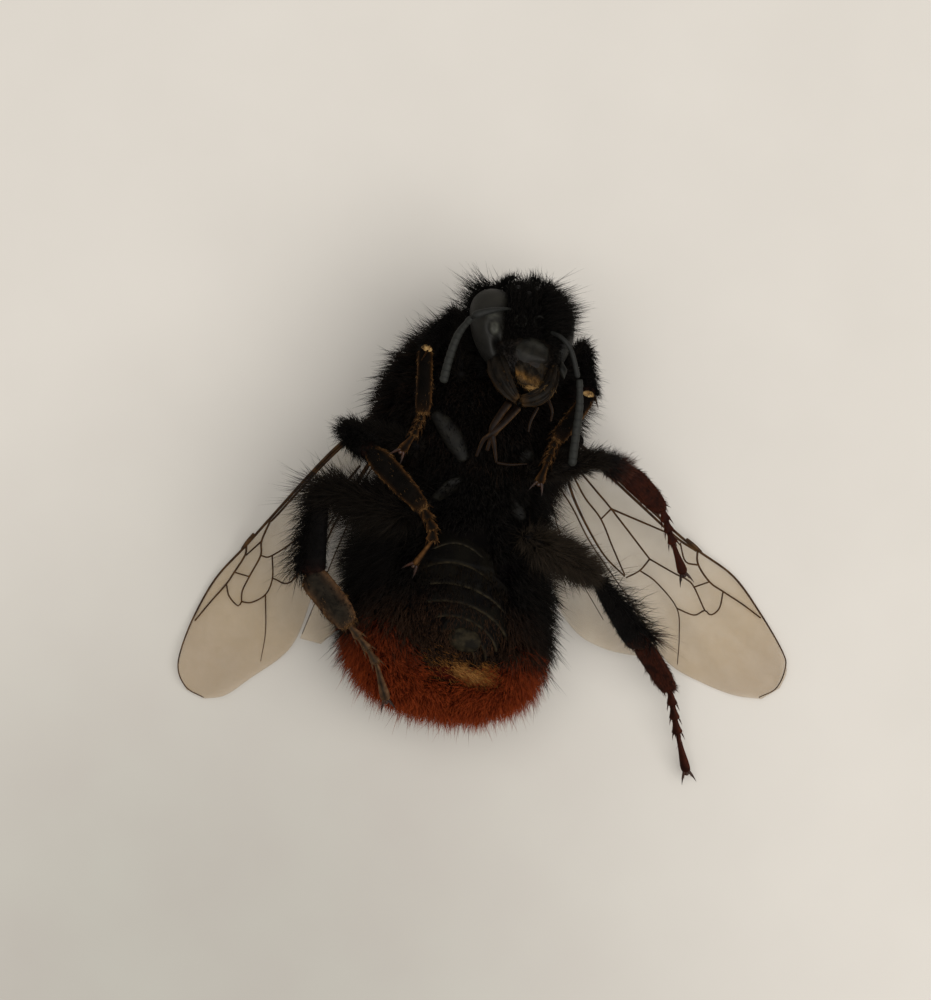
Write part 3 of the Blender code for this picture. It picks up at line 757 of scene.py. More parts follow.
TONGUE_STRIPS = (
    # its line, and half its width and depth at root, middle and end
    (((1.15, 5.35, 7.7), (0.72, 4.75, 7.85), (0.42, 4.2, 7.95), (0.5, 3.6, 7.92), (0.6, 2.8, 7.75)),
     (0.17, 0.13), (0.14, 0.11), (0.05, 0.05)),
    (((1.55, 5.15, 7.75), (1.0, 4.55, 7.95), (0.45, 4.05, 8.05), (0.05, 3.75, 7.98), (-0.25, 3.05, 7.8)),
     (0.16, 0.12), (0.13, 0.1), (0.05, 0.05)),
    (((1.35, 5.0, 7.6), (0.85, 4.4, 7.8), (0.4, 3.85, 7.85), (0.2, 3.3, 7.75)),
     (0.2, 0.14), (0.12, 0.1), (0.08, 0.07)),
    (((2.35, 5.15, 7.75), (2.05, 4.55, 7.85), (1.95, 4.1, 7.8)), (0.07, 0.06), (0.06, 0.05), (0.04, 0.03)),
    (((2.75, 5.55, 7.8), (2.95, 5.0, 7.85), (2.9, 4.55, 7.75)), (0.07, 0.06), (0.06, 0.05), (0.04, 0.03)),
    (((0.62, 2.8, 7.72), (1.2, 2.72, 7.7), (1.9, 2.75, 7.65)), (0.05, 0.04), (0.04, 0.04), (0.03, 0.03)),
)
tongue_parts, tongue_rims = [], []
for line, root, middle, end in TONGUE_STRIPS:
    path, _, halves = tapered_path(line, 300, ((0, *root), (0.5, *middle), (1, *end)), 40, 2.5, 0.6)
    tongue_parts.append(limb_rings(path, halves, (1, 0.4, 0), 18, 2.2))
    tongue_rims.append((np.abs(np.cos(ring_turn(18))) ** 4)[None, :])
TONGUE_CHITIN = shell_chitin("brown tongue chitin", 0.45, 0.07, "#0a0503", "#180e08", "#25160b", "#4c3620")
finish_piece(rings_piece("tongue", tongue_parts, rim=tongue_rims), TONGUE_CHITIN, "brown_shell", "proboscis")


# ======== Legs ========
# Jointed tubes of chitin: coxa, trochanter, furry femur and tibia, a flat basitarsus, three small
# heart-shaped segments and the last one, which carries two claws. Soft skin shows at the bent joints,
# pale at the forelegs' ankles. The hind tibia's outer face is bare and dished, with hair along its rims.

# hip, knee, ankle, heel, then the points that the last segments run through
LEGS = {
    "foreleg_right": ((-0.9, 6.3, 6.9), (-1.05, 9.25, 6.05), (-2.4, 7.62, 7.2), (-2.5, 4.85, 8.0),
                      (-2.88, 3.95, 8.05), (-3.4, 3.3, 8.0)),
    "foreleg_left": ((2.4, 6.1, 6.0), (4.4, 7.8, 5.2), (4.55, 5.65, 6.65), (3.1, 3.75, 7.55),
                     (2.72, 2.75, 7.7), (2.4, 1.95, 7.7)),
    "midleg_right": ((-2.6, 3.5, 7.0), (-5.95, 4.3, 5.1), (-4.7, 3.3, 7.35), (-2.45, 0.85, 8.15),
                     (-2.05, -0.15, 8.1), (-2.3, -0.85, 8.0), (-2.85, -1.5, 7.85)),
    "midleg_left": ((1.9, 2.35, 7.1), (5.15, 2.95, 7.35), (6.1, 2.4, 4.7), (7.7, 0.8, 3.35),
                    (8.15, -0.6, 2.75), (8.62, -1.95, 2.35)),
    "hindleg_right": ((-2.3, 0.6, 7.0), (-6.75, 1.95, 5.85), (-7.25, -1.95, 6.4), (-5.6, -4.05, 6.95),
                      (-4.7, -5.25, 7.05), (-4.3, -6.1, 6.95), (-4.05, -7.25, 6.5)),
    "hindleg_left": ((1.7, -0.25, 7.1), (4.85, -2.05, 6.15), (6.85, -5.0, 3.2), (8.05, -6.95, 1.7),
                     (8.42, -8.95, 1.0), (8.78, -10.45, 0.6)),
}
# the way that each leg's tibia and basitarsus are widest
BROAD = {
    "foreleg_right": (1, 0.6, 0), "foreleg_left": (1, -0.3, 0),
    "midleg_right": (0.8, 1, 0), "midleg_left": (0.7, 1, 0),
    "hindleg_right": (1, 0.2, 0.2), "hindleg_left": (1, 0.5, 0.6),
}
# where each coxa starts beside the middle of the chest, and where it ends
COXAE = {
    "foreleg_right": ((-0.3, 5.3, 6.2), (-1.0, 6.4, 6.2)), "foreleg_left": ((1.2, 5.2, 6.2), (2.3, 6.1, 5.9)),
    "midleg_right": ((-0.75, 2.85, 7.0), (-2.05, 4.95, 6.8)),
    "midleg_left": ((1.2, 2.9, 6.1), (2.2, 3.3, 6.1)),
    "hindleg_right": ((-0.8, 2.15, 6.75), (-2.1, 1.2, 6.6)),
    "hindleg_left": ((0.5, 1.7, 5.8), (1.7, 0.3, 5.9)),
}
# (share, half width, half depth) along each segment, bare of hair
SEGMENTS = {
    "foreleg": {
        "femur": ((0, 0.2, 0.2), (0.35, 0.32, 0.3), (1, 0.2, 0.2)),
        "tibia": ((0, 0.17, 0.17), (0.5, 0.27, 0.22), (0.9, 0.31, 0.25), (1, 0.27, 0.22)),
        "basitarsus": ((0, 0.2, 0.14), (0.15, 0.32, 0.15), (0.85, 0.35, 0.16), (1, 0.28, 0.14)),
    },
    "midleg": {
        "femur": ((0, 0.24, 0.24), (0.35, 0.38, 0.34), (1, 0.24, 0.22)),
        "tibia": ((0, 0.2, 0.18), (0.5, 0.38, 0.27), (0.9, 0.42, 0.28), (1, 0.36, 0.24)),
        "basitarsus": ((0, 0.3, 0.14), (0.2, 0.52, 0.15), (0.7, 0.46, 0.15), (1, 0.28, 0.13)),
    },
    "hindleg": {
        "femur": ((0, 0.28, 0.26), (0.35, 0.45, 0.38), (1, 0.28, 0.26)),
        "tibia": ((0, 0.26, 0.2), (0.3, 0.44, 0.23), (0.88, 0.62, 0.24), (1, 0.56, 0.22)),
        "basitarsus": ((0, 0.48, 0.16), (0.12, 0.55, 0.17), (0.6, 0.47, 0.18), (1, 0.27, 0.15)),
    },
}
# the two hind basitarsi, which turn different faces to the camera
HEELS = {
    "hindleg_right": ((0, 0.5, 0.16), (0.15, 0.64, 0.17), (0.75, 0.62, 0.17), (1, 0.42, 0.14)),
    "hindleg_left": ((0, 0.42, 0.16), (0.15, 0.49, 0.17), (0.75, 0.44, 0.18), (1, 0.34, 0.15)),
}
COXA = ((0, 0.22, 0.12), (0.35, 0.45, 0.2), (0.7, 0.42, 0.18), (1, 0.2, 0.12))
TROCHANTER = ((0, 0.26, 0.26), (0.6, 0.31, 0.3), (1, 0.24, 0.24))
SMALL = ((0, 0.1, 0.1), (0.5, 0.17, 0.13), (0.85, 0.27, 0.16), (1, 0.22, 0.13))
LAST = ((0, 0.09, 0.08), (0.4, 0.13, 0.11), (0.85, 0.23, 0.15), (1, 0.18, 0.13))
ANKLE_SKIN = ((0, 0.14, 0.1), (0.45, 0.28, 0.22), (1, 0.2, 0.1))
KNEE_SKIN = ((0, 0.1, 0.1), (0.5, 0.19, 0.17), (1, 0.1, 0.1))
PAD = ((0, 0.06, 0.05), (0.7, 0.09, 0.06), (1, 0.06, 0.05))
# steps along the line of the last segments where each small one starts and ends
TOE_STEPS = 401
SMALL_STEPS = ((0, 74), (68, 144), (138, 216))
LAST_STEP = 212


def spike(root, way, length, radius, bend):
    """A stiff bristle or claw: it curves towards bend as it thins to its point."""
    way, bend = unit(way), unit(bend)
    t = np.linspace(0, 1, 8)[:, None]
    points = np.array(root) + length * (way * t + bend * 0.35 * t ** 2)
    halves = np.repeat(radius * (1 - 0.96 * t ** 1.3), 2, 1)
    return limb_rings(points, halves, np.cross(way, (0.3, 0.2, 1)), 8)


def rims(rings, power):
    """1 along the two thin edges of a flat segment and at its far end, 0 in the middle of its faces. The
    edges are narrower for a higher power."""
    count, sides = rings.shape[:2]
    edge = np.abs(np.cos(ring_turn(sides))) ** power
    return np.maximum(edge[None, :], np.linspace(0, 1, count)[:, None] ** 12)


def sideways(broad, ahead):
    """The way straight across a limb on which broad lies."""
    return unit(broad - ahead * (ahead @ broad))


def dished(shin):
    """A hind tibia with its outer face sunk in."""
    face = np.linspace(0, 1, len(shin))[:, None]
    dish = 0.16 * np.sin(np.pi * face) * np.clip(np.sin(ring_turn(shin.shape[1])), 0, 1) ** 2
    # points 4 and 5 of each ring lie on the middle of the outer face
    up = unit(shin[:, 4:6].mean(1, keepdims=True) - shin.mean(1, keepdims=True))
    return shin - up * dish[..., None]


LIMB_CHITIN = shell_chitin("black leg chitin", 0.6, 0.03, "#040303", "#090706", "#180a05", "#2a1209")
FOOT_CHITIN = {
    "pale": shell_chitin("brown chitin, tan rims", 0.6, 0.02, "#040302", "#0b0806", "#352110", "#5a3c1f"),
    "grey": shell_chitin("grey-brown chitin, tan rims", 0.55, 0.03,
                         "#13100c", "#26211a", "#382416", "#654931"),
    "red": shell_chitin("dark red-brown chitin", 0.55, 0.03, "#170805", "#2d120a", "#26100a", "#431e11"),
}
FEET = {"foreleg_right": "pale", "foreleg_left": "pale", "midleg_right": "pale", "midleg_left": "red",
        "hindleg_right": "grey", "hindleg_left": "red"}
COXA_CHITIN = shell_chitin("coxa chitin, worn", 0.5, 0.08, "#060504", "#16140f", "#060403", "#1a120a")
JOINT_SKIN = shell_chitin("joint skin, soft", 0.6, 0.05, "#120a06", "#26160d", "#6b4a28", "#c4a26c")
CLAW_HORN = shell_chitin("claw horn, dark tipped", 0.35, 0.2, "#1a0c06", "#351b0d", "#080504", "#0e0806")

leg_rings = {}
coxae, joint_balls, joint_pale = [], [], []
for leg, joints in LEGS.items():
    kind, broad = leg.split("_")[0], np.array(BROAD[leg], float)
    hip, knee, ankle, heel = (np.array(joint, float) for joint in joints[:4])
    sizes = SEGMENTS[kind]
    flat = HEELS.get(leg, sizes["basitarsus"])
    rings = {
        "coxa": segment(*COXAE[leg], COXA, (1, 0.6, 0), 0.14),
        "trochanter": segment(hip, hip + (knee - hip) * 0.17, TROCHANTER, broad),
        "femur": segment(hip + (knee - hip) * 0.13, knee, sizes["femur"], broad, 0.06),
        "tibia": segment(knee, ankle, sizes["tibia"], broad, -0.04, square=2.4),
        "basitarsus": segment(ankle - (heel - ankle) * 0.03, heel, flat, broad, 0.03, square=2.6),
    }
    if kind == "hindleg":
        rings["tibia"] = dished(rings["tibia"])
    # brown along most of the left middle tibia, and only at the end of the others
    turns_brown = 0.3 if leg == "midleg_left" else 1.9
    shin_end = np.clip(2.6 * np.linspace(0, 1, len(rings["tibia"])) - turns_brown, 0, 1)[:, None]
    coxae.append(rings["coxa"])
    upper = rings_piece(f"{leg}_upper", list(rings.values())[1:4], rim=[0.0, 0.0, shin_end])
    finish_piece(upper, LIMB_CHITIN, "black_shell", f"{leg}_femur", f"{leg}_tibia")

    line = smooth_path([heel, *joints[4:]], TOE_STEPS)
    thick = 1.15 if leg == "midleg_right" else 0.95 if leg.endswith("left") else 0.85
    table = [(share, wide * thick, deep) for share, wide, deep in SMALL]
    small, spines = [], []
    for first, last in SMALL_STEPS:
        small.append(segment(line[first], line[last], table, broad, count=20, sides=18, square=2.3))
        ahead = unit(line[last] - line[first])
        side = sideways(broad, ahead)
        for sign in (-1, 1):
            corner = line[last] + sign * side * 0.2 - ahead * 0.05
            spines.append(spike(corner, ahead + sign * side * 0.4, 0.24, 0.035, ahead))
            spines.append(spike(corner - sign * side * 0.1, ahead + sign * side * 0.2, 0.18, 0.03, ahead))
    small.append(segment(line[LAST_STEP], line[-1], LAST, broad, count=26, sides=18))
    ahead = unit(heel - ankle)
    side = sideways(broad, ahead)
    for sign in (-1, -0.4, 0.4, 1):
        root = heel + sign * side * 0.24 - ahead * 0.08
        spines.append(spike(root, ahead + sign * side * 0.4, 0.26, 0.035, ahead))
    shin = unit(ankle - knee)
    side = sideways(broad, shin)
    for sign in (-1, 1) if kind == "hindleg" else (1,):
        spines.append(spike(ankle + sign * side * 0.2, shin + sign * side * 0.25, 0.55, 0.055, shin))
    foot = [rings["basitarsus"], *small, *spines]
    # how narrow the rims are on the basitarsus, and on what follows it
    powers = (3.0, 1.0) if leg == "hindleg_right" else (8.0, 2.5)
    rim = [rims(part, powers[min(i, 1)]) for i, part in enumerate(foot)]
    piece = rings_piece(f"{leg}_foot", foot, rim=rim)
    finish_piece(piece, FOOT_CHITIN[FEET[leg]], "brown_shell", f"{leg}_basitarsus", f"{leg}_tarsus")

    ahead = unit(line[-1] - line[-21])
    side = unit(np.cross(ahead, (0, 0, 1)))
    claws = []
    for sign in (-1, 1):
        root = line[-1] - ahead * 0.05 + sign * side * 0.07
        claws.append(spike(root, ahead + sign * side * 0.75, 0.5, 0.08, ahead * 1.6 - sign * side * 0.5))
        root = root + sign * side * 0.05
        claws.append(spike(root, ahead + sign * side * 0.15, 0.26, 0.05, ahead + np.array((0, 0, -0.8))))
    pad = segment(line[-5], line[-1] + ahead * 0.16, PAD, side)
    dark_tips = [(np.linspace(0, 1, len(claw)) ** 3)[:, None] for claw in claws]
    finish_piece(rings_piece(f"{leg}_claws", [*claws, pad], rim=dark_tips + [0.0]), CLAW_HORN, "brown_shell")
    leg_rings[leg] = dict(rings, small=small)
    raised = np.array((0, 0, 0.09 if kind == "foreleg" else 0.0))
    at = ankle + raised
    joint_balls += [
        segment(at - shin * 0.24, at + unit(heel - ankle) * 0.16, ANKLE_SKIN, broad, count=16),
        segment(knee - unit(knee - hip) * 0.1, knee + shin * 0.12, KNEE_SKIN, broad, count=16),
    ]
    joint_pale += [1.0 if kind == "foreleg" else 0.0, 0.0]
finish_piece(rings_piece("coxae", coxae), COXA_CHITIN, "black_shell")
finish_piece(rings_piece("joint_skin", joint_balls, rim=joint_pale), JOINT_SKIN, "brown_shell")


# ======== Wings ========
# Two pairs of clear membranes, far thinner than paper, clear near the body and smoky towards the tip,
# pleated a little, and stiffened by tubular brown veins. They are drawn 0.03 mm thick.

# the leading edge's x, y and the trailing edge's x, y, from the hinge to the tip
FOREWINGS = {
    "right": (
        ((-3.9, 5.75), (-3.7, 4.6)), ((-5.6, 4.05), (-5.0, 3.1)), ((-7.2, 2.45), (-5.9, 0.8)),
        ((-8.8, 0.8), (-6.75, -1.2)), ((-10.2, -0.75), (-7.35, -3.1)), ((-11.4, -2.1), (-7.9, -4.6)),
        ((-12.3, -3.7), (-8.6, -5.5)), ((-12.88, -5.1), (-9.9, -6.4)), ((-13.05, -6.15), (-11.0, -7.15)),
        ((-12.7, -6.9), (-11.9, -7.3)),
    ),
    "left": (
        ((3.6, 4.35), (3.3, 3.2)), ((5.0, 2.95), (4.05, 1.3)), ((6.6, 1.45), (4.7, -0.2)),
        ((8.2, -0.05), (5.45, -1.55)), ((9.6, -1.2), (6.3, -3.0)), ((10.9, -2.2), (7.15, -4.6)),
        ((12.0, -3.65), (8.1, -5.85)), ((12.75, -5.0), (9.4, -6.6)), ((13.1, -6.05), (10.8, -7.15)),
        ((12.8, -6.85), (12.0, -7.32)),
    ),
}
HINDWINGS = {
    "right": (
        ((-3.3, 4.0), (-2.9, 3.3)), ((-4.75, 2.6), (-3.7, 1.4)), ((-5.65, 0.5), (-4.4, -0.6)),
        ((-6.5, -1.5), (-5.2, -2.6)), ((-7.2, -3.3), (-5.9, -4.0)), ((-7.8, -4.7), (-6.9, -4.95)),
    ),
    "left": (
        ((2.95, 2.8), (2.4, 2.0)), ((3.85, 1.1), (2.5, 0.0)), ((4.6, -0.4), (2.75, -1.7)),
        ((5.5, -1.75), (3.2, -3.2)), ((6.5, -3.2), (4.1, -4.5)), ((7.3, -4.6), (5.4, -5.2)),
        ((7.6, -5.35), (6.9, -5.5)),
    ),
}
HINGES = {"right": (-3.6, 5.4), "left": (3.3, 4.1)}
HINGE_HEIGHT, WING_FALL = 2.9, 2.65  # height over the floor, and how much lower the wing's outer part is
WING_STATIONS, WING_POINTS = 90, 40  # how many there are along each membrane, and across it
# the middle and the way of the dark cell on each forewing's leading edge
SPOTS = {"right": ((-10.05, -0.55), (-1.0, -1.3)), "left": ((9.1, -0.72), (1.0, -0.9))}
# each vein's line over the wing, and how stout it is at its start and end
VEINS = {
    "right": (
        (((-3.7, 5.6), (-6.4, 3.3), (-9.0, 0.52), (-10.1, -0.7), (-11.4, -2.1), (-12.33, -3.7),
          (-12.92, -5.2), (-13.03, -6.1), (-12.66, -6.85), (-11.95, -7.25)), 0.14, 0.03),
        (((-3.8, 5.35), (-6.4, 3.12), (-8.8, 0.56), (-9.07, 0.33)), 0.1, 0.07),
        (((-9.07, 0.33), (-9.45, -0.54), (-9.49, -1.15), (-9.98, -2.06), (-10.28, -2.67), (-10.32, -3.13)),
         0.07, 0.05),
        (((-9.45, -0.54), (-10.13, -1.15)), 0.06, 0.05),
        (((-10.1, -0.72), (-10.17, -1.15), (-10.63, -1.87), (-10.97, -2.37), (-11.7, -3.2), (-12.32, -3.95)),
         0.07, 0.05),
        (((-10.63, -1.87), (-9.98, -2.06)), 0.05, 0.05),
        (((-10.97, -2.37), (-10.85, -2.9), (-10.47, -3.32), (-10.32, -3.13)), 0.05, 0.05),
        (((-10.32, -3.13), (-9.9, -3.17), (-9.29, -2.83), (-8.99, -2.14), (-8.99, -1.15)), 0.05, 0.05),
        (((-9.29, -2.83), (-9.29, -4.42), (-9.5, -5.7)), 0.05, 0.02),
        (((-9.49, -1.15), (-8.99, -1.15), (-7.6, -0.1), (-5.2, 2.7)), 0.05, 0.08),
        (((-8.99, -2.14), (-8.1, -2.2), (-6.6, 0.1), (-4.6, 3.2)), 0.05, 0.08),
        (((-4.4, 3.4), (-6.1, 0.6), (-7.3, -2.0)), 0.1, 0.05),
    ),
    "left": (
        (((3.5, 4.2), (4.95, 2.9), (6.6, 1.4), (8.25, -0.1), (9.25, -0.92), (10.8, -2.05), (11.95, -3.62),
          (12.92, -5.3), (13.03, -6.0), (12.65, -6.85), (11.9, -7.25)), 0.13, 0.03),
        (((3.45, 3.9), (5.0, 2.65), (6.7, 1.1), (8.3, -0.35), (9.2, -0.95)), 0.1, 0.08),
        (((3.45, 3.0), (3.97, 1.2), (5.1, -0.94), (6.12, -2.05)), 0.11, 0.05),
        (((3.6, 2.9), (4.36, 1.4), (5.08, 0.43), (5.6, -0.8), (6.12, -1.98)), 0.07, 0.05),
        (((3.8, 2.9), (4.9, 1.6), (5.53, 0.85), (7.19, -1.3)), 0.07, 0.06),
        (((5.53, 0.85), (5.11, 0.43)), 0.06, 0.05),
        (((5.53, 0.85), (7.74, -0.09), (8.4, -0.4)), 0.07, 0.06),
        (((7.19, -1.3), (6.77, -1.79), (6.18, -2.1)), 0.06, 0.05),
        (((7.19, -1.3), (8.27, -1.92), (8.79, -2.18), (9.11, -2.51), (9.57, -3.51)), 0.06, 0.05),
        (((6.77, -1.79), (7.49, -2.31), (8.37, -3.42), (8.48, -4.6), (8.4, -5.83)), 0.055, 0.025),
        (((8.37, -3.42), (9.11, -3.71), (9.57, -3.51), (9.83, -3.71), (10.2, -3.42), (10.36, -2.7)),
         0.05, 0.05),
        (((9.11, -2.51), (9.77, -2.28)), 0.05, 0.05),
        (((9.25, -0.92), (9.28, -1.53), (9.77, -2.28), (10.36, -2.7), (11.2, -3.25), (11.98, -3.84)),
         0.07, 0.05),
        (((9.28, -1.56), (8.73, -1.4), (8.5, -0.6)), 0.06, 0.05),
    ),
}
HIND_VEINS = {
    "right": ((((-3.2, 3.8), (-4.75, 2.5), (-5.6, 0.5), (-6.5, -1.6), (-7.7, -4.5)), 0.08, 0.03),
              (((-3.1, 3.6), (-4.3, 1.2), (-5.3, -1.2), (-6.3, -3.6)), 0.06, 0.03),
              (((-5.3, -1.2), (-6.2, -1.4)), 0.04, 0.04)),
    "left": ((((2.8, 2.5), (3.8, 1.0), (4.55, -0.45), (5.45, -1.8), (6.45, -3.25), (7.5, -5.1)), 0.08, 0.03),
             (((2.7, 2.3), (3.2, 0.2), (3.9, -1.6), (5.2, -3.9)), 0.06, 0.03),
             (((3.9, -1.6), (4.9, -1.5)), 0.04, 0.04)),
}


def wing_height(places, side):
    """Height over the floor: a smooth fall from the hinge until the wing lies on the floor."""
    share = np.clip(np.linalg.norm(places - np.array(HINGES[side]), axis=-1) / 11.5, 0, 1)
    return HINGE_HEIGHT - WING_FALL * share ** 2 * (3 - 2 * share)


def pleats(places, side):
    """Low folds that fan out from the hinge."""
    away = places - np.array(HINGES[side])
    bearing = np.arctan2(away[..., 1], away[..., 0])
    return 0.07 * np.sin(bearing * 38) * np.clip(np.linalg.norm(away, axis=-1) / 8, 0, 1)


def membrane(name, edges, side, lift):
    """A closed sheet through the wing's stations: its top and its underside, joined at the rim."""
    lead, trail = (smooth_path([station[i] for station in edges], WING_STATIONS) for i in (0, 1))
    across = np.linspace(0, 1, WING_POINTS)[None, :, None]
    flat = lead[:, None] * (1 - across) + trail[:, None] * across
    high = wing_height(flat, side) + pleats(flat, side) + lift
    thick = np.full(WING_POINTS, 0.015)
    thick[[0, -1]] = 0.002  # its rims are thin
    top = np.concatenate((flat, (high + thick)[..., None]), -1)
    under = np.concatenate((flat, (high - thick)[..., None]), -1)[:, ::-1]
    away = np.linalg.norm(flat - np.array(HINGES[side]), axis=-1) / 13.5
    out = np.concatenate((away, away[:, ::-1]), 1)
    return rings_piece(f"{name}_membrane", [np.concatenate((top, under), 1)], out=[out])


def wing_membrane():
    """Wing membrane: a clear film that smokes over to tan in its outer third, with a faint grain from
    hairs too fine to see and a soft gloss. It hides little of what lies under it."""
    material, shader = new_material("wing membrane, clear to smoky", 0.32, 0.3, 1.5)
    out = painted(shader, "out")
    tan = ramp(shader, out, (0.3, "#a08a62"), (0.62, "#a98c58"), (0.85, "#a8874a"), (1.0, "#9a783c"))
    feed(shader, "Base Color", tan)
    smoke = add_node(shader, "ShaderNodeMapRange", {"interpolation_type": "SMOOTHSTEP"},
                     {"From Min": 0.4, "From Max": 0.9, "To Min": 0.13, "To Max": 0.25}, {"Value": out})
    grain = add_node(shader, "ShaderNodeMapRange", None,
                     {"From Min": 0.3, "From Max": 0.7, "To Min": -0.015, "To Max": 0.015},
                     {"Value": mottle(shader, 0.5)})
    hides = add_node(shader, "ShaderNodeMath", {"operation": "ADD"}, None,
                     {0: smoke.outputs["Result"], 1: grain.outputs["Result"]})
    feed(shader, "Alpha", hides.outputs["Value"])
    return material


def vein_chitin():
    """Wing veins: round tubes of dark brown chitin, satin."""
    material, shader = new_material("wing vein chitin", 0.5, 0.12)
    feed(shader, "Base Color", ramp(shader, mottle(shader, 0.4), (0.35, "#2a190b"), (0.7, "#4c3318")))
    return material


WING_MEMBRANE, VEIN_CHITIN = wing_membrane(), vein_chitin()
vein_rings = []
for side in SIDES:
    # a vein's radius is two thirds of what VEINS says and half of what HIND_VEINS says
    for wing, edges, veins, lift, thick in (("forewing", FOREWINGS[side], VEINS[side], 0.0, 0.66),
                                            ("hindwing", HINDWINGS[side], HIND_VEINS[side], 0.7, 0.5)):
        piece = membrane(f"{wing}_{side}", edges, side, lift)
        finish_piece(piece, WING_MEMBRANE, "wing", f"{wing}_{side}")
        for line, start, end in veins:
            reach = np.linalg.norm(np.diff(np.array(line), axis=0), axis=1).sum()
            flat = smooth_path(line, max(8, int(reach / 0.12)))
            high = wing_height(flat, side) + pleats(flat, side) + lift + 0.02
            radius = np.linspace(start, end, len(flat)) * thick
            path = np.column_stack((flat, high))
            vein_rings.append(limb_rings(path, np.stack((radius, radius), -1), (0, 0, 1), 10))
    at, way = np.array(SPOTS[side][0]), unit(SPOTS[side][1])
    ends = np.stack((at - way * 0.45, at + way * 0.45))
    ends = np.column_stack((ends, wing_height(ends, side) + 0.03))
    vein_rings.append(segment(ends[0], ends[1], ((0, 0.05, 0.05), (0.5, 0.09, 0.06), (1, 0.05, 0.05)),
                              (way[1], -way[0], 0), count=16, sides=12))
finish_piece(rings_piece("wing_veins", vein_rings), VEIN_CHITIN, "wing")

# a shell cap over each forewing's hinge, and the small hard pieces that it turns on: how far out and
# forwards of the hinge each is, and its half sizes
HINGE_PARTS = ((-0.1, 0.25, (0.7, 0.75, 0.4)), (0.5, 0.0, (0.35, 0.4, 0.22)), (0.75, -0.35, (0.3, 0.3, 0.18)))
hinge_parts = []
for side, sign in SIDES.items():
    x, y = HINGES[side]
    for out, up, half in HINGE_PARTS:
        hinge_parts.append(ball(lambda a, b, c: (
            x + sign * out + a * half[0], y + up + b * half[1], HINGE_HEIGHT + c * half[2]), 16, 24))
finish_piece(rings_piece("hinge_caps", hinge_parts), LIMB_CHITIN, "black_shell")


# ======== Coat ========
# Hair, branched like fine feathers and too fine to draw one by one: each tuft is a few thin bent spikes
# that share a root. Black and nearly erect on the thorax, combed tailwards on the abdomen, fiery red on
# the tail, short on the face and feet, and long along the rims of the hind tibiae.

def solid_tree(pieces):
    """A search tree over the faces of pieces, for keeping hair out of them."""
    corners, faces = [], []
    for piece in pieces:
        start = len(corners)
        corners += [vertex.co / MM for vertex in piece.data.vertices]
        faces += [[start + i for i in polygon.vertices] for polygon in piece.data.polygons]
    return BVHTree.FromPolygons(corners, faces)


def within(tree, points, reach):
    """Which points lie inside the solids of a tree."""
    found = np.zeros(len(points), bool)
    for i, point in enumerate(points.tolist()):
        place, normal = tree.find_nearest(point, reach)[:2]
        found[i] = place is not None and normal.dot(Vector(point) - place) < -0.01
    return found


skin_tree = solid_tree([body_skin])
BARE_ENDINGS = ("_lens", "_blade", "_upper", "_foot", "_plates", "labrum", "tongue", "coxae")
bare_tree = solid_tree([
    piece for piece in bpy.data.objects
    if piece.name.endswith(BARE_ENDINGS) or piece.name.startswith(("scape_", "flagellum_"))
])


def scatter(rings, count, seed, odds=None):
    """Random places spread evenly over a tube of rings: where, the way out, the way along, and u, v.
    odds() makes some faces more likely than others, by their middles and the way out of them."""
    rng = np.random.default_rng(seed)
    beside = np.roll(rings, -1, axis=1)
    a, b, c, d = rings[:-1], beside[:-1], beside[1:], rings[1:]
    crossed = np.cross(c - a, d - b)
    middles = (a + b + c + d) / 4
    inside = (rings.mean(1)[:-1] + rings.mean(1)[1:])[:, None] / 2
    outward = unit(crossed) * np.sign(((middles - inside) * crossed).sum(-1))[..., None]
    rows, sides = crossed.shape[:2]
    chance = np.linalg.norm(crossed, axis=-1)
    if odds is not None:
        chance = chance * np.broadcast_to(odds(middles, outward), chance.shape)
    picks = rng.choice(chance.size, count, p=chance.ravel() / chance.sum())
    i, j = np.divmod(picks, sides)
    s, t = rng.random((2, count))
    s3, t3 = s[:, None], t[:, None]
    where = (a[i, j] * (1 - s3) + b[i, j] * s3) * (1 - t3) + (d[i, j] * (1 - s3) + c[i, j] * s3) * t3
    along = unit((d - a + c - b)[i, j])
    return {"where": where, "out": outward[i, j], "along": along,
            "place": np.stack(((j + s) / sides, (i + t) / rows), -1)}


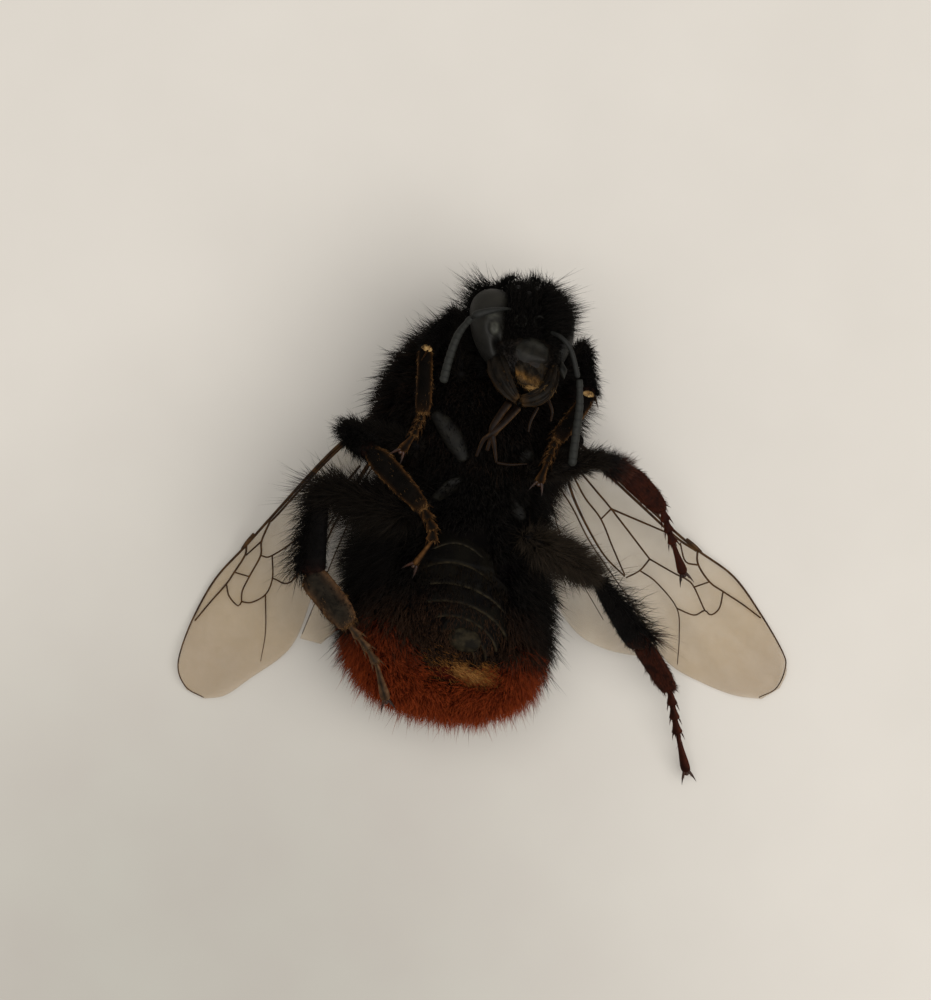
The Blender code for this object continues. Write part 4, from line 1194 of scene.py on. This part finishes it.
def coat_piece(name, slot, material, tufts, hairs, width, wander=0.2, spread=0.11, bend=0.45, seed=1):
    """Tufts of spikes as one mesh. Each spike is closed, three-sided and bent once. tufts holds the root
    of each tuft, its way, the way that it bends to, its length, its place in the map and, where the
    colour varies, how dusky it is."""
    rng = np.random.default_rng(seed)
    count = len(tufts["where"])
    total = count * hairs
    out = np.repeat(tufts["out"], hairs, 0)
    shift = rng.normal(0, spread, (total, 3))
    shift -= out * (shift * out).sum(-1, keepdims=True)
    root = np.repeat(tufts["where"], hairs, 0) + shift - out * 0.08
    way = unit(np.repeat(tufts["way"], hairs, 0) + rng.normal(0, wander, (total, 3)))
    length = np.repeat(tufts["length"], hairs) * rng.uniform(0.55, 1.12, total)
    length = length * np.where(rng.random(total) < 0.1, 1.32, 1.0)
    comb = np.repeat(tufts["comb"], hairs, 0)
    half = root + way * (length * 0.5)[:, None]
    end = half + unit(way + comb * bend + rng.normal(0, 0.12, (total, 3))) * (length * 0.5)[:, None]
    half[:, 2], end[:, 2] = np.maximum(half[:, 2], 0.05), np.maximum(end[:, 2], 0.03)
    first = unit(np.cross(way, rng.normal(0, 1, (total, 3))))
    second = np.cross(way, first)
    radius = width / 2 * rng.uniform(0.75, 1.2, total)
    radius = radius * np.repeat(np.minimum(1, 0.55 + tufts["length"]), hairs)
    points = np.empty((total, 7, 3), np.float32)
    for k in range(3):
        round_it = math.cos(2 * math.pi * k / 3) * first + math.sin(2 * math.pi * k / 3) * second
        points[:, k] = root + round_it * radius[:, None]
        points[:, 3 + k] = half + round_it * (0.72 * radius)[:, None]
    points[:, 6] = end
    # the seven faces of a spike: its foot, three sides below the bend and three above it
    pattern = np.array((2, 1, 0, 0, 1, 4, 3, 1, 2, 5, 4, 2, 0, 3, 5, 3, 4, 6, 4, 5, 6, 5, 3, 6))
    starts = np.array((0, 3, 7, 11, 15, 18, 21))
    corners = np.arange(total)[:, None] * 7 + pattern
    firsts = np.arange(total)[:, None] * len(pattern) + starts
    mesh = bpy.data.meshes.new(name)
    mesh.vertices.add(total * 7)
    mesh.loops.add(corners.size)
    mesh.polygons.add(firsts.size)
    mesh.vertices.foreach_set("co", (points * MM).ravel())
    mesh.loops.foreach_set("vertex_index", corners.ravel().astype(np.int32))
    mesh.polygons.foreach_set("loop_start", firsts.ravel().astype(np.int32))
    mesh.update(calc_edges=True)
    mesh.validate()
    mesh.shade_smooth()
    piece = bpy.data.objects.new(name, mesh)
    bpy.context.scene.collection.objects.link(piece)
    height = np.tile(np.array((0, 0, 0, 0.5, 0.5, 0.5, 1.0)), total)
    paint(piece, "along", height)
    paint(piece, "shade", np.repeat(rng.random(total), 7))
    paint(piece, "dusk", np.repeat(tufts["dusk"] if "dusk" in tufts else np.zeros(count), hairs * 7))
    strand = np.tile(np.arange(hairs) / hairs, count)
    corner_across = np.array((0, 0.5, 1, 0, 0.5, 1, 0.5)) / hairs
    local = np.stack((strand[:, None] + corner_across, np.broadcast_to(height[:7], (total, 7))), -1) - 0.5
    spots = 0.01 + 0.98 * np.repeat(tufts["place"], hairs, 0)[:, None] + 0.003 * local
    uv = mesh.uv_layers.new(name="OFBake")
    uv.uv.foreach_set("vector", spots[:, pattern].ravel().astype(np.float32))
    finish_piece(piece, material, slot)


def combed(found, stand, lean, length):
    """Adds the lie of the hair to scattered places: how much it stands out and how much it leans."""
    found["way"] = unit(found["out"] * stand + found["along"] * lean)
    found["comb"] = found["along"] * np.sign(lean)
    found["length"] = np.broadcast_to(length, len(found["where"])).astype(float)


def all_along(found, key, way):
    """Gives all places the same way."""
    found[key] = np.broadcast_to(unit(way), found["where"].shape)


def kept(found, keep):
    return {key: values[keep] for key, values in found.items()}


def together(groups):
    return {key: np.concatenate([group[key] for group in groups]) for key in groups[0]}


def drawn(seed, count, low=0.0, high=1.0):
    return np.random.default_rng(seed).uniform(low, high, count)


def clear_of(found, trees=((skin_tree, False), (bare_tree, True))):
    """Drops tufts that run through a bare part or another part of the body, and those that start in a
    part whose roots are tested as well."""
    keep = np.ones(len(found["where"]), bool)
    tip = found["where"] + found["way"] * found["length"][:, None]
    for tree, test_roots in trees:
        tests = [(found["where"] + tip) / 2, tip]
        if test_roots:
            tests.insert(0, found["where"] + found["out"] * 0.02)
        for points in tests:
            keep &= ~within(tree, points, 1.2 if tree is skin_tree else 0.5)
    return kept(found, keep)


def hair_material(name, root, tips, roughness=0.5, gloss=0.1, dusky=None):
    """Hair: darker at the root, each one a little different, with a soft satin gloss along it."""
    material, shader = new_material(name, roughness, gloss, 1.45)
    along = painted(shader, "along")
    dark = ramp(shader, along, (0.0, root), (1.0, tips[0]))
    light = ramp(shader, along, (0.0, root), (0.7, tips[1]))
    colour = mixed(shader, painted(shader, "shade"), dark, light)
    if dusky:
        brown = ramp(shader, painted(shader, "shade"), (0.0, dusky[0]), (1.0, dusky[1]))
        colour = mixed(shader, painted(shader, "dusk"), colour, brown)
    feed(shader, "Base Color", colour)
    return material


BLACK_HAIR = hair_material("black hair", "#010101", ("#050403", "#120e0a"), 0.6,
                           dusky=("#20140b", "#462f20"))
RED_HAIR = hair_material("fiery red hair", "#330d05", ("#6c2712", "#93401c"), 0.65, 0.05,
                         dusky=("#2c130b", "#492012"))
GOLD_HAIR = hair_material("golden hair", "#3a2210", ("#7d5328", "#b4824a"), 0.5, 0.05,
                          dusky=("#4a2c14", "#8a5c2c"))
LEG_HAIR = hair_material("brown-black hair", "#020101", ("#040302", "#0e0b08"), 0.6,
                         dusky=("#14100c", "#362d23"))
PLATE_HAIR = hair_material("brown-black hair, short", "#040302", ("#0c0906", "#231b11"), 0.6, 0.05,
                           dusky=("#20150b", "#463020"))
CHESTNUT_HAIR = hair_material("chestnut hair", "#0c0403", ("#210c07", "#5c2c19"), 0.55,
                              dusky=("#0a0504", "#23120b"))
RUST_HAIR = hair_material("rust-brown bristles", "#23140a", ("#573b20", "#8d683e"), 0.55)
MOUTH_HAIR = hair_material("tan bristles, fine", "#120b06", ("#20160d", "#57422a"), 0.55, 0.05,
                           dusky=("#7d5d38", "#b8935c"))


# the long coat of thorax, waist, abdomen and tail
def fewer_behind(middles, outward):
    """Fewer tufts on the underside, and more where a leg's root parts the coat."""
    x, y = middles[..., 0], middles[..., 1]
    flank = (x < -3.5) & (y < 3.2) & (y > -1.8) & (outward[..., 2] > -0.5)
    shoulder = (x > 2.4) & (y > 5.0) & (y < 8.0) & (outward[..., 2] > -0.5)
    return np.where(outward[..., 2] < -0.3, 0.6, 1.0) * np.where(flank | shoulder, 2.0, 1.0)


thorax = scatter(thorax_rings, 5700, 11, fewer_behind)
combed(thorax, 1.0, -0.25, 0.95)
x, y, _ = thorax["where"].T
belly = thorax["out"][:, 2] > 0.55
thorax["length"] = np.where(belly, 0.75, 1.08) + 0.1 * (y > 7.9)
thorax["length"] *= drawn(3, len(belly), 0.75, 1.25)
thorax["length"] *= np.where((x > 1.2) & (y > 5.0) & ~belly, 1.4, 1.0)
thorax["dusk"] = 0.25 * drawn(33, len(belly)) ** 3
thorax = clear_of(thorax)
share = thorax["place"][:, 1]
third = np.digitize(share, np.quantile(share, (1 / 3, 2 / 3)))
for i, place in enumerate(("hind", "middle", "front")):
    coat_piece(f"coat_thorax_{place}", "black_coat", BLACK_HAIR, kept(thorax, third == i),
               6, 0.032, 0.3, seed=21 + i)


def waist_only(middles, outward):
    return (middles[..., 1] < 2.4) & (middles[..., 1] > -1.4)


waist = scatter(waist_rings, 2050, 15, waist_only)
combed(waist, 1.0, 0.3, 1.1)
x, y, _ = waist["where"].T
up = waist["out"][:, 2]
waist["length"] = np.where(up > 0.6, 0.8, np.where(x < 0, 2.1, 1.5)) * drawn(4, len(up), 0.8, 1.3)
front_plates = (np.abs(x + 0.75) < 1.1) & (y < 0.1) & (up > 0.4)
coat_piece("coat_waist", "black_coat", BLACK_HAIR, clear_of(kept(waist, ~front_plates)), 6, 0.034, seed=25)

abdomen = scatter(abdomen_rings, 7150, 12, fewer_behind)
combed(abdomen, 0.85, 0.6, 1.1)
x, y, _ = abdomen["where"].T
up = abdomen["out"][:, 2]
bare = (up > 0.7) & (np.abs(x + 0.9) < 1.9) & (y < -0.2)
front = np.clip(1 - abdomen["place"][:, 1] / 0.35, 0, 1) * (up < 0.7) * np.where(x < 0, 2.1, 0.8)
abdomen["length"] = np.where(bare, 0.5, 1.1 + front) * drawn(4, len(up), 0.75, 1.3)
abdomen["dusk"] = dusk(abdomen["where"]) * drawn(34, len(up), 0.6, 1.0)
opening = np.hypot((x + 1.4) / 0.85, (y + 5.9) / 0.65) < 1
abdomen = clear_of(kept(abdomen, ~(opening & (up > 0.3))))
red = redness(abdomen["where"]) > drawn(5, len(abdomen["where"]))
for part, slot, material, tufts, hairs, width, seed in (
        ("abdomen", "black_coat", BLACK_HAIR, kept(abdomen, ~red), 6, 0.032, 31),
        ("tail", "red_coat", RED_HAIR, kept(abdomen, red), 7, 0.028, 41)):
    front_half, hind_half = np.array_split(np.argsort(tufts["place"][:, 1]), 2)
    coat_piece(f"coat_{part}_front", slot, material, kept(tufts, front_half), hairs, width, 0.28, seed=seed)
    coat_piece(f"coat_{part}_hind", slot, material, kept(tufts, hind_half), hairs, width, 0.28, seed=seed + 1)

groups = []
for i, rings in enumerate(plates):
    found = scatter(rings[:, :11], 175, 140 + i, lambda middles, outward: middles[..., 1] > -5.5)
    all_along(found, "along", (0.05, -1.0, 0.1))
    all_along(found, "out", (0.0, 0.1, 1.0))
    combed(found, 0.3, 0.95, 0.36)
    found["place"] = np.stack((found["place"][:, 0], (i + found["place"][:, 1]) / len(plates)), -1)
    found["dusk"] = np.clip((-2.6 - found["where"][:, 1]) / 1.6, 0, 1)
    groups.append(found)
coat_piece("coat_plates", "black_coat", PLATE_HAIR, together(groups), 5, 0.026, spread=0.06, seed=45)


# the head's coat, long over the left eye and behind the right one, and short on the face
HEAD_TURN = np.array(HEAD_POSE)[:3, :3]


def over_left_eye(local):
    x, y, z = local[..., 0], local[..., 1], local[..., 2]
    return (x > 0.4) & (y > -0.3) & (y < 2.4) & (z > 0.0)


def behind_right_eye(local):
    x, y, z = local[..., 0], local[..., 1], local[..., 2]
    return (x < -0.9) & (y > -0.3) & (y < 2.3) & (z < -0.5)


def turn_tufts(found, which, way, comb):
    """Gives some tufts a lie of their own, stated in the head's own directions."""
    found["way"][which] = unit(way) @ HEAD_TURN.T
    found["comb"][which] = np.array(comb) @ HEAD_TURN.T


def around_left_brow(middles, outward):
    local = in_head(middles)
    return 1 + 1.5 * over_left_eye(local) + 1.2 * (local[..., 1] > 2.1)


head = scatter(head_rings, 2900, 13, around_left_brow)
local = in_head(head["where"])
combed(head, 1.0, 0.25, 0.6)
behind = np.clip((0.5 - local[:, 2]) / 0.8, 0, 1)
head["length"] = np.interp(local[:, 1], (-1.8, -0.4, 0.6, 1.6, 2.6), (0.2, 0.3, 0.6, 0.6, 0.42))
head["length"] = (head["length"] + 0.3 * behind) * (0.7 + 0.75 * drawn(8, len(behind)) ** 2.2)
turn_tufts(head, over_left_eye(local), (0.8, 0.12, 0.6), (0.9, 0.1, -0.2))
head["length"][over_left_eye(local)] *= 1.9
coat_piece("coat_head", "black_coat", BLACK_HAIR, clear_of(head), 7, 0.027, 0.28, seed=51)


def beside_shield(middles, outward):
    local = in_head(middles)
    bare = (np.abs(local[..., 0] - 0.06) < 0.72) & (local[..., 1] > -1.5) & (local[..., 1] < -0.15)
    return (local[..., 2] > 0.75) & ~bare


face = scatter(mask_rings, 420, 17, beside_shield)
combed(face, 0.8, -0.3, 0.36)
coat_piece("coat_face", "black_coat", BLACK_HAIR, face, 6, 0.024, spread=0.07, seed=53)


# bristles round the mouth, and a pale row of them below the lip's golden edge
def lower_lip(middles, outward):
    return (outward[..., 2] > 0.2) * (0.3 + (in_head(middles)[..., 1] < -1.9))


def jaw_edges(middles, outward):
    return (np.abs(outward[..., 2]) < 0.6) & (middles[..., 1] < 6.9)


mouth = scatter(labrum_rings, 150, 18, lower_lip)
combed(mouth, 0.45, -0.8, 0.3)
for rings in jaw_rings.values():
    found = scatter(rings, 90, 19, jaw_edges)
    combed(found, 0.5, 0.9, 0.26)
    mouth = together([mouth, found])
mouth["dusk"] = 0.6 * golden_edge(mouth["where"]) * (mouth["where"][:, 0] > 1.3)
line = drawn(55, 60)
row = {"where": np.stack((1.8 + 0.8 * line, 6.0 - 0.12 * line, 8.84 - 0.1 * line), -1)}
all_along(row, "out", (0.0, 0.0, 1.0))
all_along(row, "along", (0.8, -0.5, 0.0))
row["place"] = np.stack((line, np.zeros(len(line))), -1)
combed(row, 0.3, 0.8, 0.2)
row["dusk"] = np.ones(len(line))
coat_piece("coat_mouth", "brown_shell", MOUTH_HAIR, together([mouth, row]), 4, 0.016, spread=0.05, seed=54)


# the ruff of long hair behind the eyes and over the back of the head
def back_of_head(middles, outward):
    local = in_head(middles)
    more = 1 + 7.0 * behind_right_eye(local) + 2.5 * (local[..., 1] > 1.7)
    return (local[..., 2] < 0.25) * (local[..., 1] > -1.4) * more


ruff = scatter(rings_of(head_point, 0.12, 40, 48), 1250, 16, back_of_head)
local = in_head(ruff["where"])
combed(ruff, 1.0, 0.15, 1.0)
ruff["length"] *= 0.55 + 0.95 * drawn(9, len(local)) ** 2.2
hind = behind_right_eye(local)
turn_tufts(ruff, hind, (-0.95, 0.35, 0.12), (-0.6, 0.7, 0.2))
ruff["length"] *= np.where(hind, 1.32, np.interp(local[:, 1], (1.0, 2.2), (1.0, 0.55)))
on_top = np.interp(local[:, 0], (-0.9, -0.4, 0.8, 1.6), (0.6, 0.7, 0.95, 0.85))
ruff["length"] *= np.where(~hind & (local[:, 1] > 1.0), on_top, 1.0)
coat_piece("coat_head_ruff", "black_coat", BLACK_HAIR, clear_of(ruff), 7, 0.026, 0.34, seed=52)

# for each part of a leg: number of tufts, their length, and how much longer they are along its outer rim
LEG_COATS = {
    "foreleg": {"coxa": (30, 0.4, 0), "trochanter": (30, 0.4, 0), "femur": (220, 0.6, 0.1),
                "tibia": (220, 0.52, 0.1), "basitarsus": (110, 0.24, 0)},
    "midleg": {"coxa": (34, 0.4, 0), "trochanter": (50, 0.5, 0), "femur": (400, 0.7, 0.1),
               "tibia": (270, 0.55, 0.15), "basitarsus": (190, 0.28, 0)},
    "hindleg": {"coxa": (60, 0.6, 0), "trochanter": (60, 0.7, 0), "femur": (640, 1.2, 0.1),
                "tibia": (520, 0.26, 1.2), "basitarsus": (170, 0.28, 0)},
}
DUSKY_THIGHS = {"hindleg_left": 0.9, "hindleg_right": 0.3, "midleg_left": 0.35}
# the share of the tibia after which its hair is chestnut
CHESTNUT_SHINS = {"midleg_left": 0.45, "hindleg_left": 0.8}
chestnut = []
for leg, rings in leg_rings.items():
    kind = leg.split("_")[0]
    groups = []
    for i, (part, (count, length, fringe)) in enumerate(LEG_COATS[kind].items()):
        if part == "basitarsus" and FEET[leg] == "red":
            continue
        right_thigh = leg == "hindleg_right" and part == "femur"
        found = scatter(rings[part], count, 60 + i, lambda middles, outward: np.where(
            right_thigh & (outward[..., 1] < -0.3), 2.5, 1.0))
        combed(found, 0.8, 0.75, length)
        to_rim = np.cos(2 * np.pi * found["place"][:, 0])
        outer_rim = np.abs(to_rim) * (to_rim * SIDES[leg.split("_")[1]] > 0)
        found["length"] = length + fringe * outer_rim ** 2.5
        if right_thigh:
            found["length"] *= 1 + 0.9 * np.clip(-found["out"][:, 1], 0, 1)
        if leg == "hindleg_left" and part == "femur":
            found["length"] *= np.interp(found["place"][:, 1], (0.55, 1.0), (1.0, 0.3))
        dusky = DUSKY_THIGHS.get(leg, 0.2) if part in ("trochanter", "femur") else 0.0
        found["dusk"] = np.full(count, dusky)
        if leg == "hindleg_right" and part == "tibia":
            found = kept(found, (np.abs(to_rim) > 0.45) | (found["place"][:, 0] > 0.5))
        browner = CHESTNUT_SHINS.get(leg, 2.0) if part == "tibia" else 2.0
        past = found["place"][:, 1] - browner + drawn(6, count, -0.16, 0.16)[:len(found["way"])]
        brown = kept(found, past > 0)
        brown["dusk"] = np.clip(0.8 - past[past > 0] / 0.4, 0, 1)
        chestnut.append(brown)
        found = kept(found, past <= 0)
        found["place"] = np.stack((found["place"][:, 0], (i + found["place"][:, 1]) / 5), -1)
        groups.append(found)
    hair = clear_of(together(groups), [(bare_tree, False)])
    coat_piece(f"coat_{leg}", "black_coat", LEG_HAIR, hair, 6, 0.026, spread=0.09, wander=0.34, seed=71)

# the feet, rust-brown along the rims or chestnut all over. For each tone: number of tufts on the
# basitarsus, their length there, and how many stand on its faces beside those on its rims
for tone, material, count, length, faces in (("rust", RUST_HAIR, 130, 0.24, 0.03),
                                             ("chestnut", CHESTNUT_HAIR, 240, 0.34, 0.6)):
    groups = chestnut if tone == "chestnut" else []
    for n, (leg, rings) in enumerate(leg_rings.items()):
        if (FEET[leg] == "red") != (tone == "chestnut"):
            continue
        for i, tube in enumerate([rings["basitarsus"], *rings["small"]]):
            def by_rims(middles, outward):
                far_end = np.linalg.norm(middles - tube[-1].mean(0), axis=-1) < 0.3
                return np.abs(outward @ unit(BROAD[leg])) ** 4 + faces + far_end
            found = scatter(tube, count if i == 0 else 22, 80 + n * 5 + i, by_rims)
            combed(found, 0.5, 0.95, length if i == 0 else 0.17)
            found["dusk"] = np.clip(0.9 - 1.3 * found["place"][:, 1], 0, 1) * (i == 0)
            found["place"] = np.stack(((n + found["place"][:, 0]) / 6, (i + found["place"][:, 1]) / 5), -1)
            groups.append(found)
    coat_piece(f"coat_feet_{tone}", "brown_shell", material, together(groups), 6, 0.022, spread=0.05, seed=91)


# golden-brown hair round the sting, brightest along one side of its opening
def from_line(points, start, end):
    """How far points are from a line, seen from the belly side."""
    start, way = np.array(start), np.array(end) - np.array(start)
    share = np.clip((points[..., :2] - start) @ way / (way @ way), 0, 1)
    return np.linalg.norm(points[..., :2] - start - share[..., None] * way, axis=-1)


STING_EDGE = ((-1.3, -5.7), (-0.3, -6.2))


def round_sting(middles, outward):
    near = np.exp(-(from_line(middles, (-2.4, -5.45), (0.1, -6.2)) / 0.36) ** 2)
    near = near + 1.5 * np.exp(-(from_line(middles, *STING_EDGE) / 0.12) ** 2)
    return near * (outward[..., 2] > 0.2)


tip = scatter(abdomen_rings, 400, 14, round_sting)
all_along(tip, "along", (0.75, -0.6, 0.0))
combed(tip, 0.35, 0.9, 0.42)
tip["dusk"] = np.clip((from_line(tip["where"], *STING_EDGE) - 0.03) / 0.14, 0, 1)
coat_piece("coat_sting", "golden_plate", GOLD_HAIR, tip, 7, 0.026, 0.3, seed=95)


# ======== Floor, light and camera ========
# A plain pale board under the specimen, two large soft lights, the even light of a room, and a camera
# straight above.

CAMERA_OVER, CAMERA_HEIGHT = (-0.70, 1.23), 400.0
VIEW_HEIGHT, BODY_MIDDLE = 42.55, 4.0  # what the frame holds at the height of the body's middle


def pale_board():
    """Matt painted board, rolled: warm pale grey with a barely seen mottle, and a painted shade that darkens
    it towards one corner.
    """
    material, shader = new_material("matt warm-grey board", 0.9, 0.3, 1.45)
    even = ramp(shader, mottle(shader, 6.0), (0.3, "#d0cbc4"), (0.7, "#d3cec7"))
    # a darker copy of the board's grey: painted shade, mixed in towards the corner at minus x and minus y
    wear_and_shade = ramp(shader, mottle(shader, 6.0), (0.3, "#b2ada6"), (0.7, "#b5b2aa"))
    place = add_node(shader, "ShaderNodeTexCoord").outputs["Object"]
    corner = add_node(shader, "ShaderNodeVectorMath", {"operation": "DISTANCE"},
                      {1: (-0.013, -0.022, 0)}, {0: place})
    fade = add_node(shader, "ShaderNodeMapRange", {"interpolation_type": "SMOOTHSTEP"},
                    {"From Min": 0.004, "From Max": 0.033, "To Min": 1.0, "To Max": 0.0},
                    {"Value": corner.outputs["Value"]})
    feed(shader, "Base Color", mixed(shader, fade.outputs["Result"], even, wear_and_shade))
    return material


deselect()
bpy.ops.mesh.primitive_plane_add(size=2.0, location=(0, 0, 0))
board = bpy.context.object
board.name = "board"
board.data.materials.append(pale_board())

world = bpy.data.worlds.new("room")
bpy.context.scene.world = world
world.use_nodes = True
world.node_tree.nodes["Background"].inputs["Color"].default_value = linear("#f4f2ee")
world.node_tree.nodes["Background"].inputs["Strength"].default_value = 0.47

for name, size, energy, place in (("window", 0.4, 1.15, (0.24, -0.1, 0.36)),
                                  ("ceiling", 0.5, 1.45, (-0.05, 0.05, 0.6))):
    lamp = bpy.data.lights.new(name, "AREA")
    lamp.shape = "DISK"
    lamp.size = size
    lamp.energy = energy
    lamp.color = (1.0, 0.985, 0.955)
    holder = bpy.data.objects.new(name, lamp)
    bpy.context.scene.collection.objects.link(holder)
    holder.location = place
    holder.rotation_euler = (-holder.location).to_track_quat("-Z", "Y").to_euler()

camera = bpy.data.objects.new("camera", bpy.data.cameras.new("camera"))
bpy.context.scene.collection.objects.link(camera)
camera.location = Vector((*CAMERA_OVER, CAMERA_HEIGHT)) * MM
camera.data.sensor_width = 36.0
camera.data.lens = 36.0 * (CAMERA_HEIGHT - BODY_MIDDLE) / VIEW_HEIGHT
camera.data.clip_start = 0.01
camera.data.clip_end = 5.0
bpy.context.scene.camera = camera
bpy.context.scene.view_settings.view_transform = "Standard"
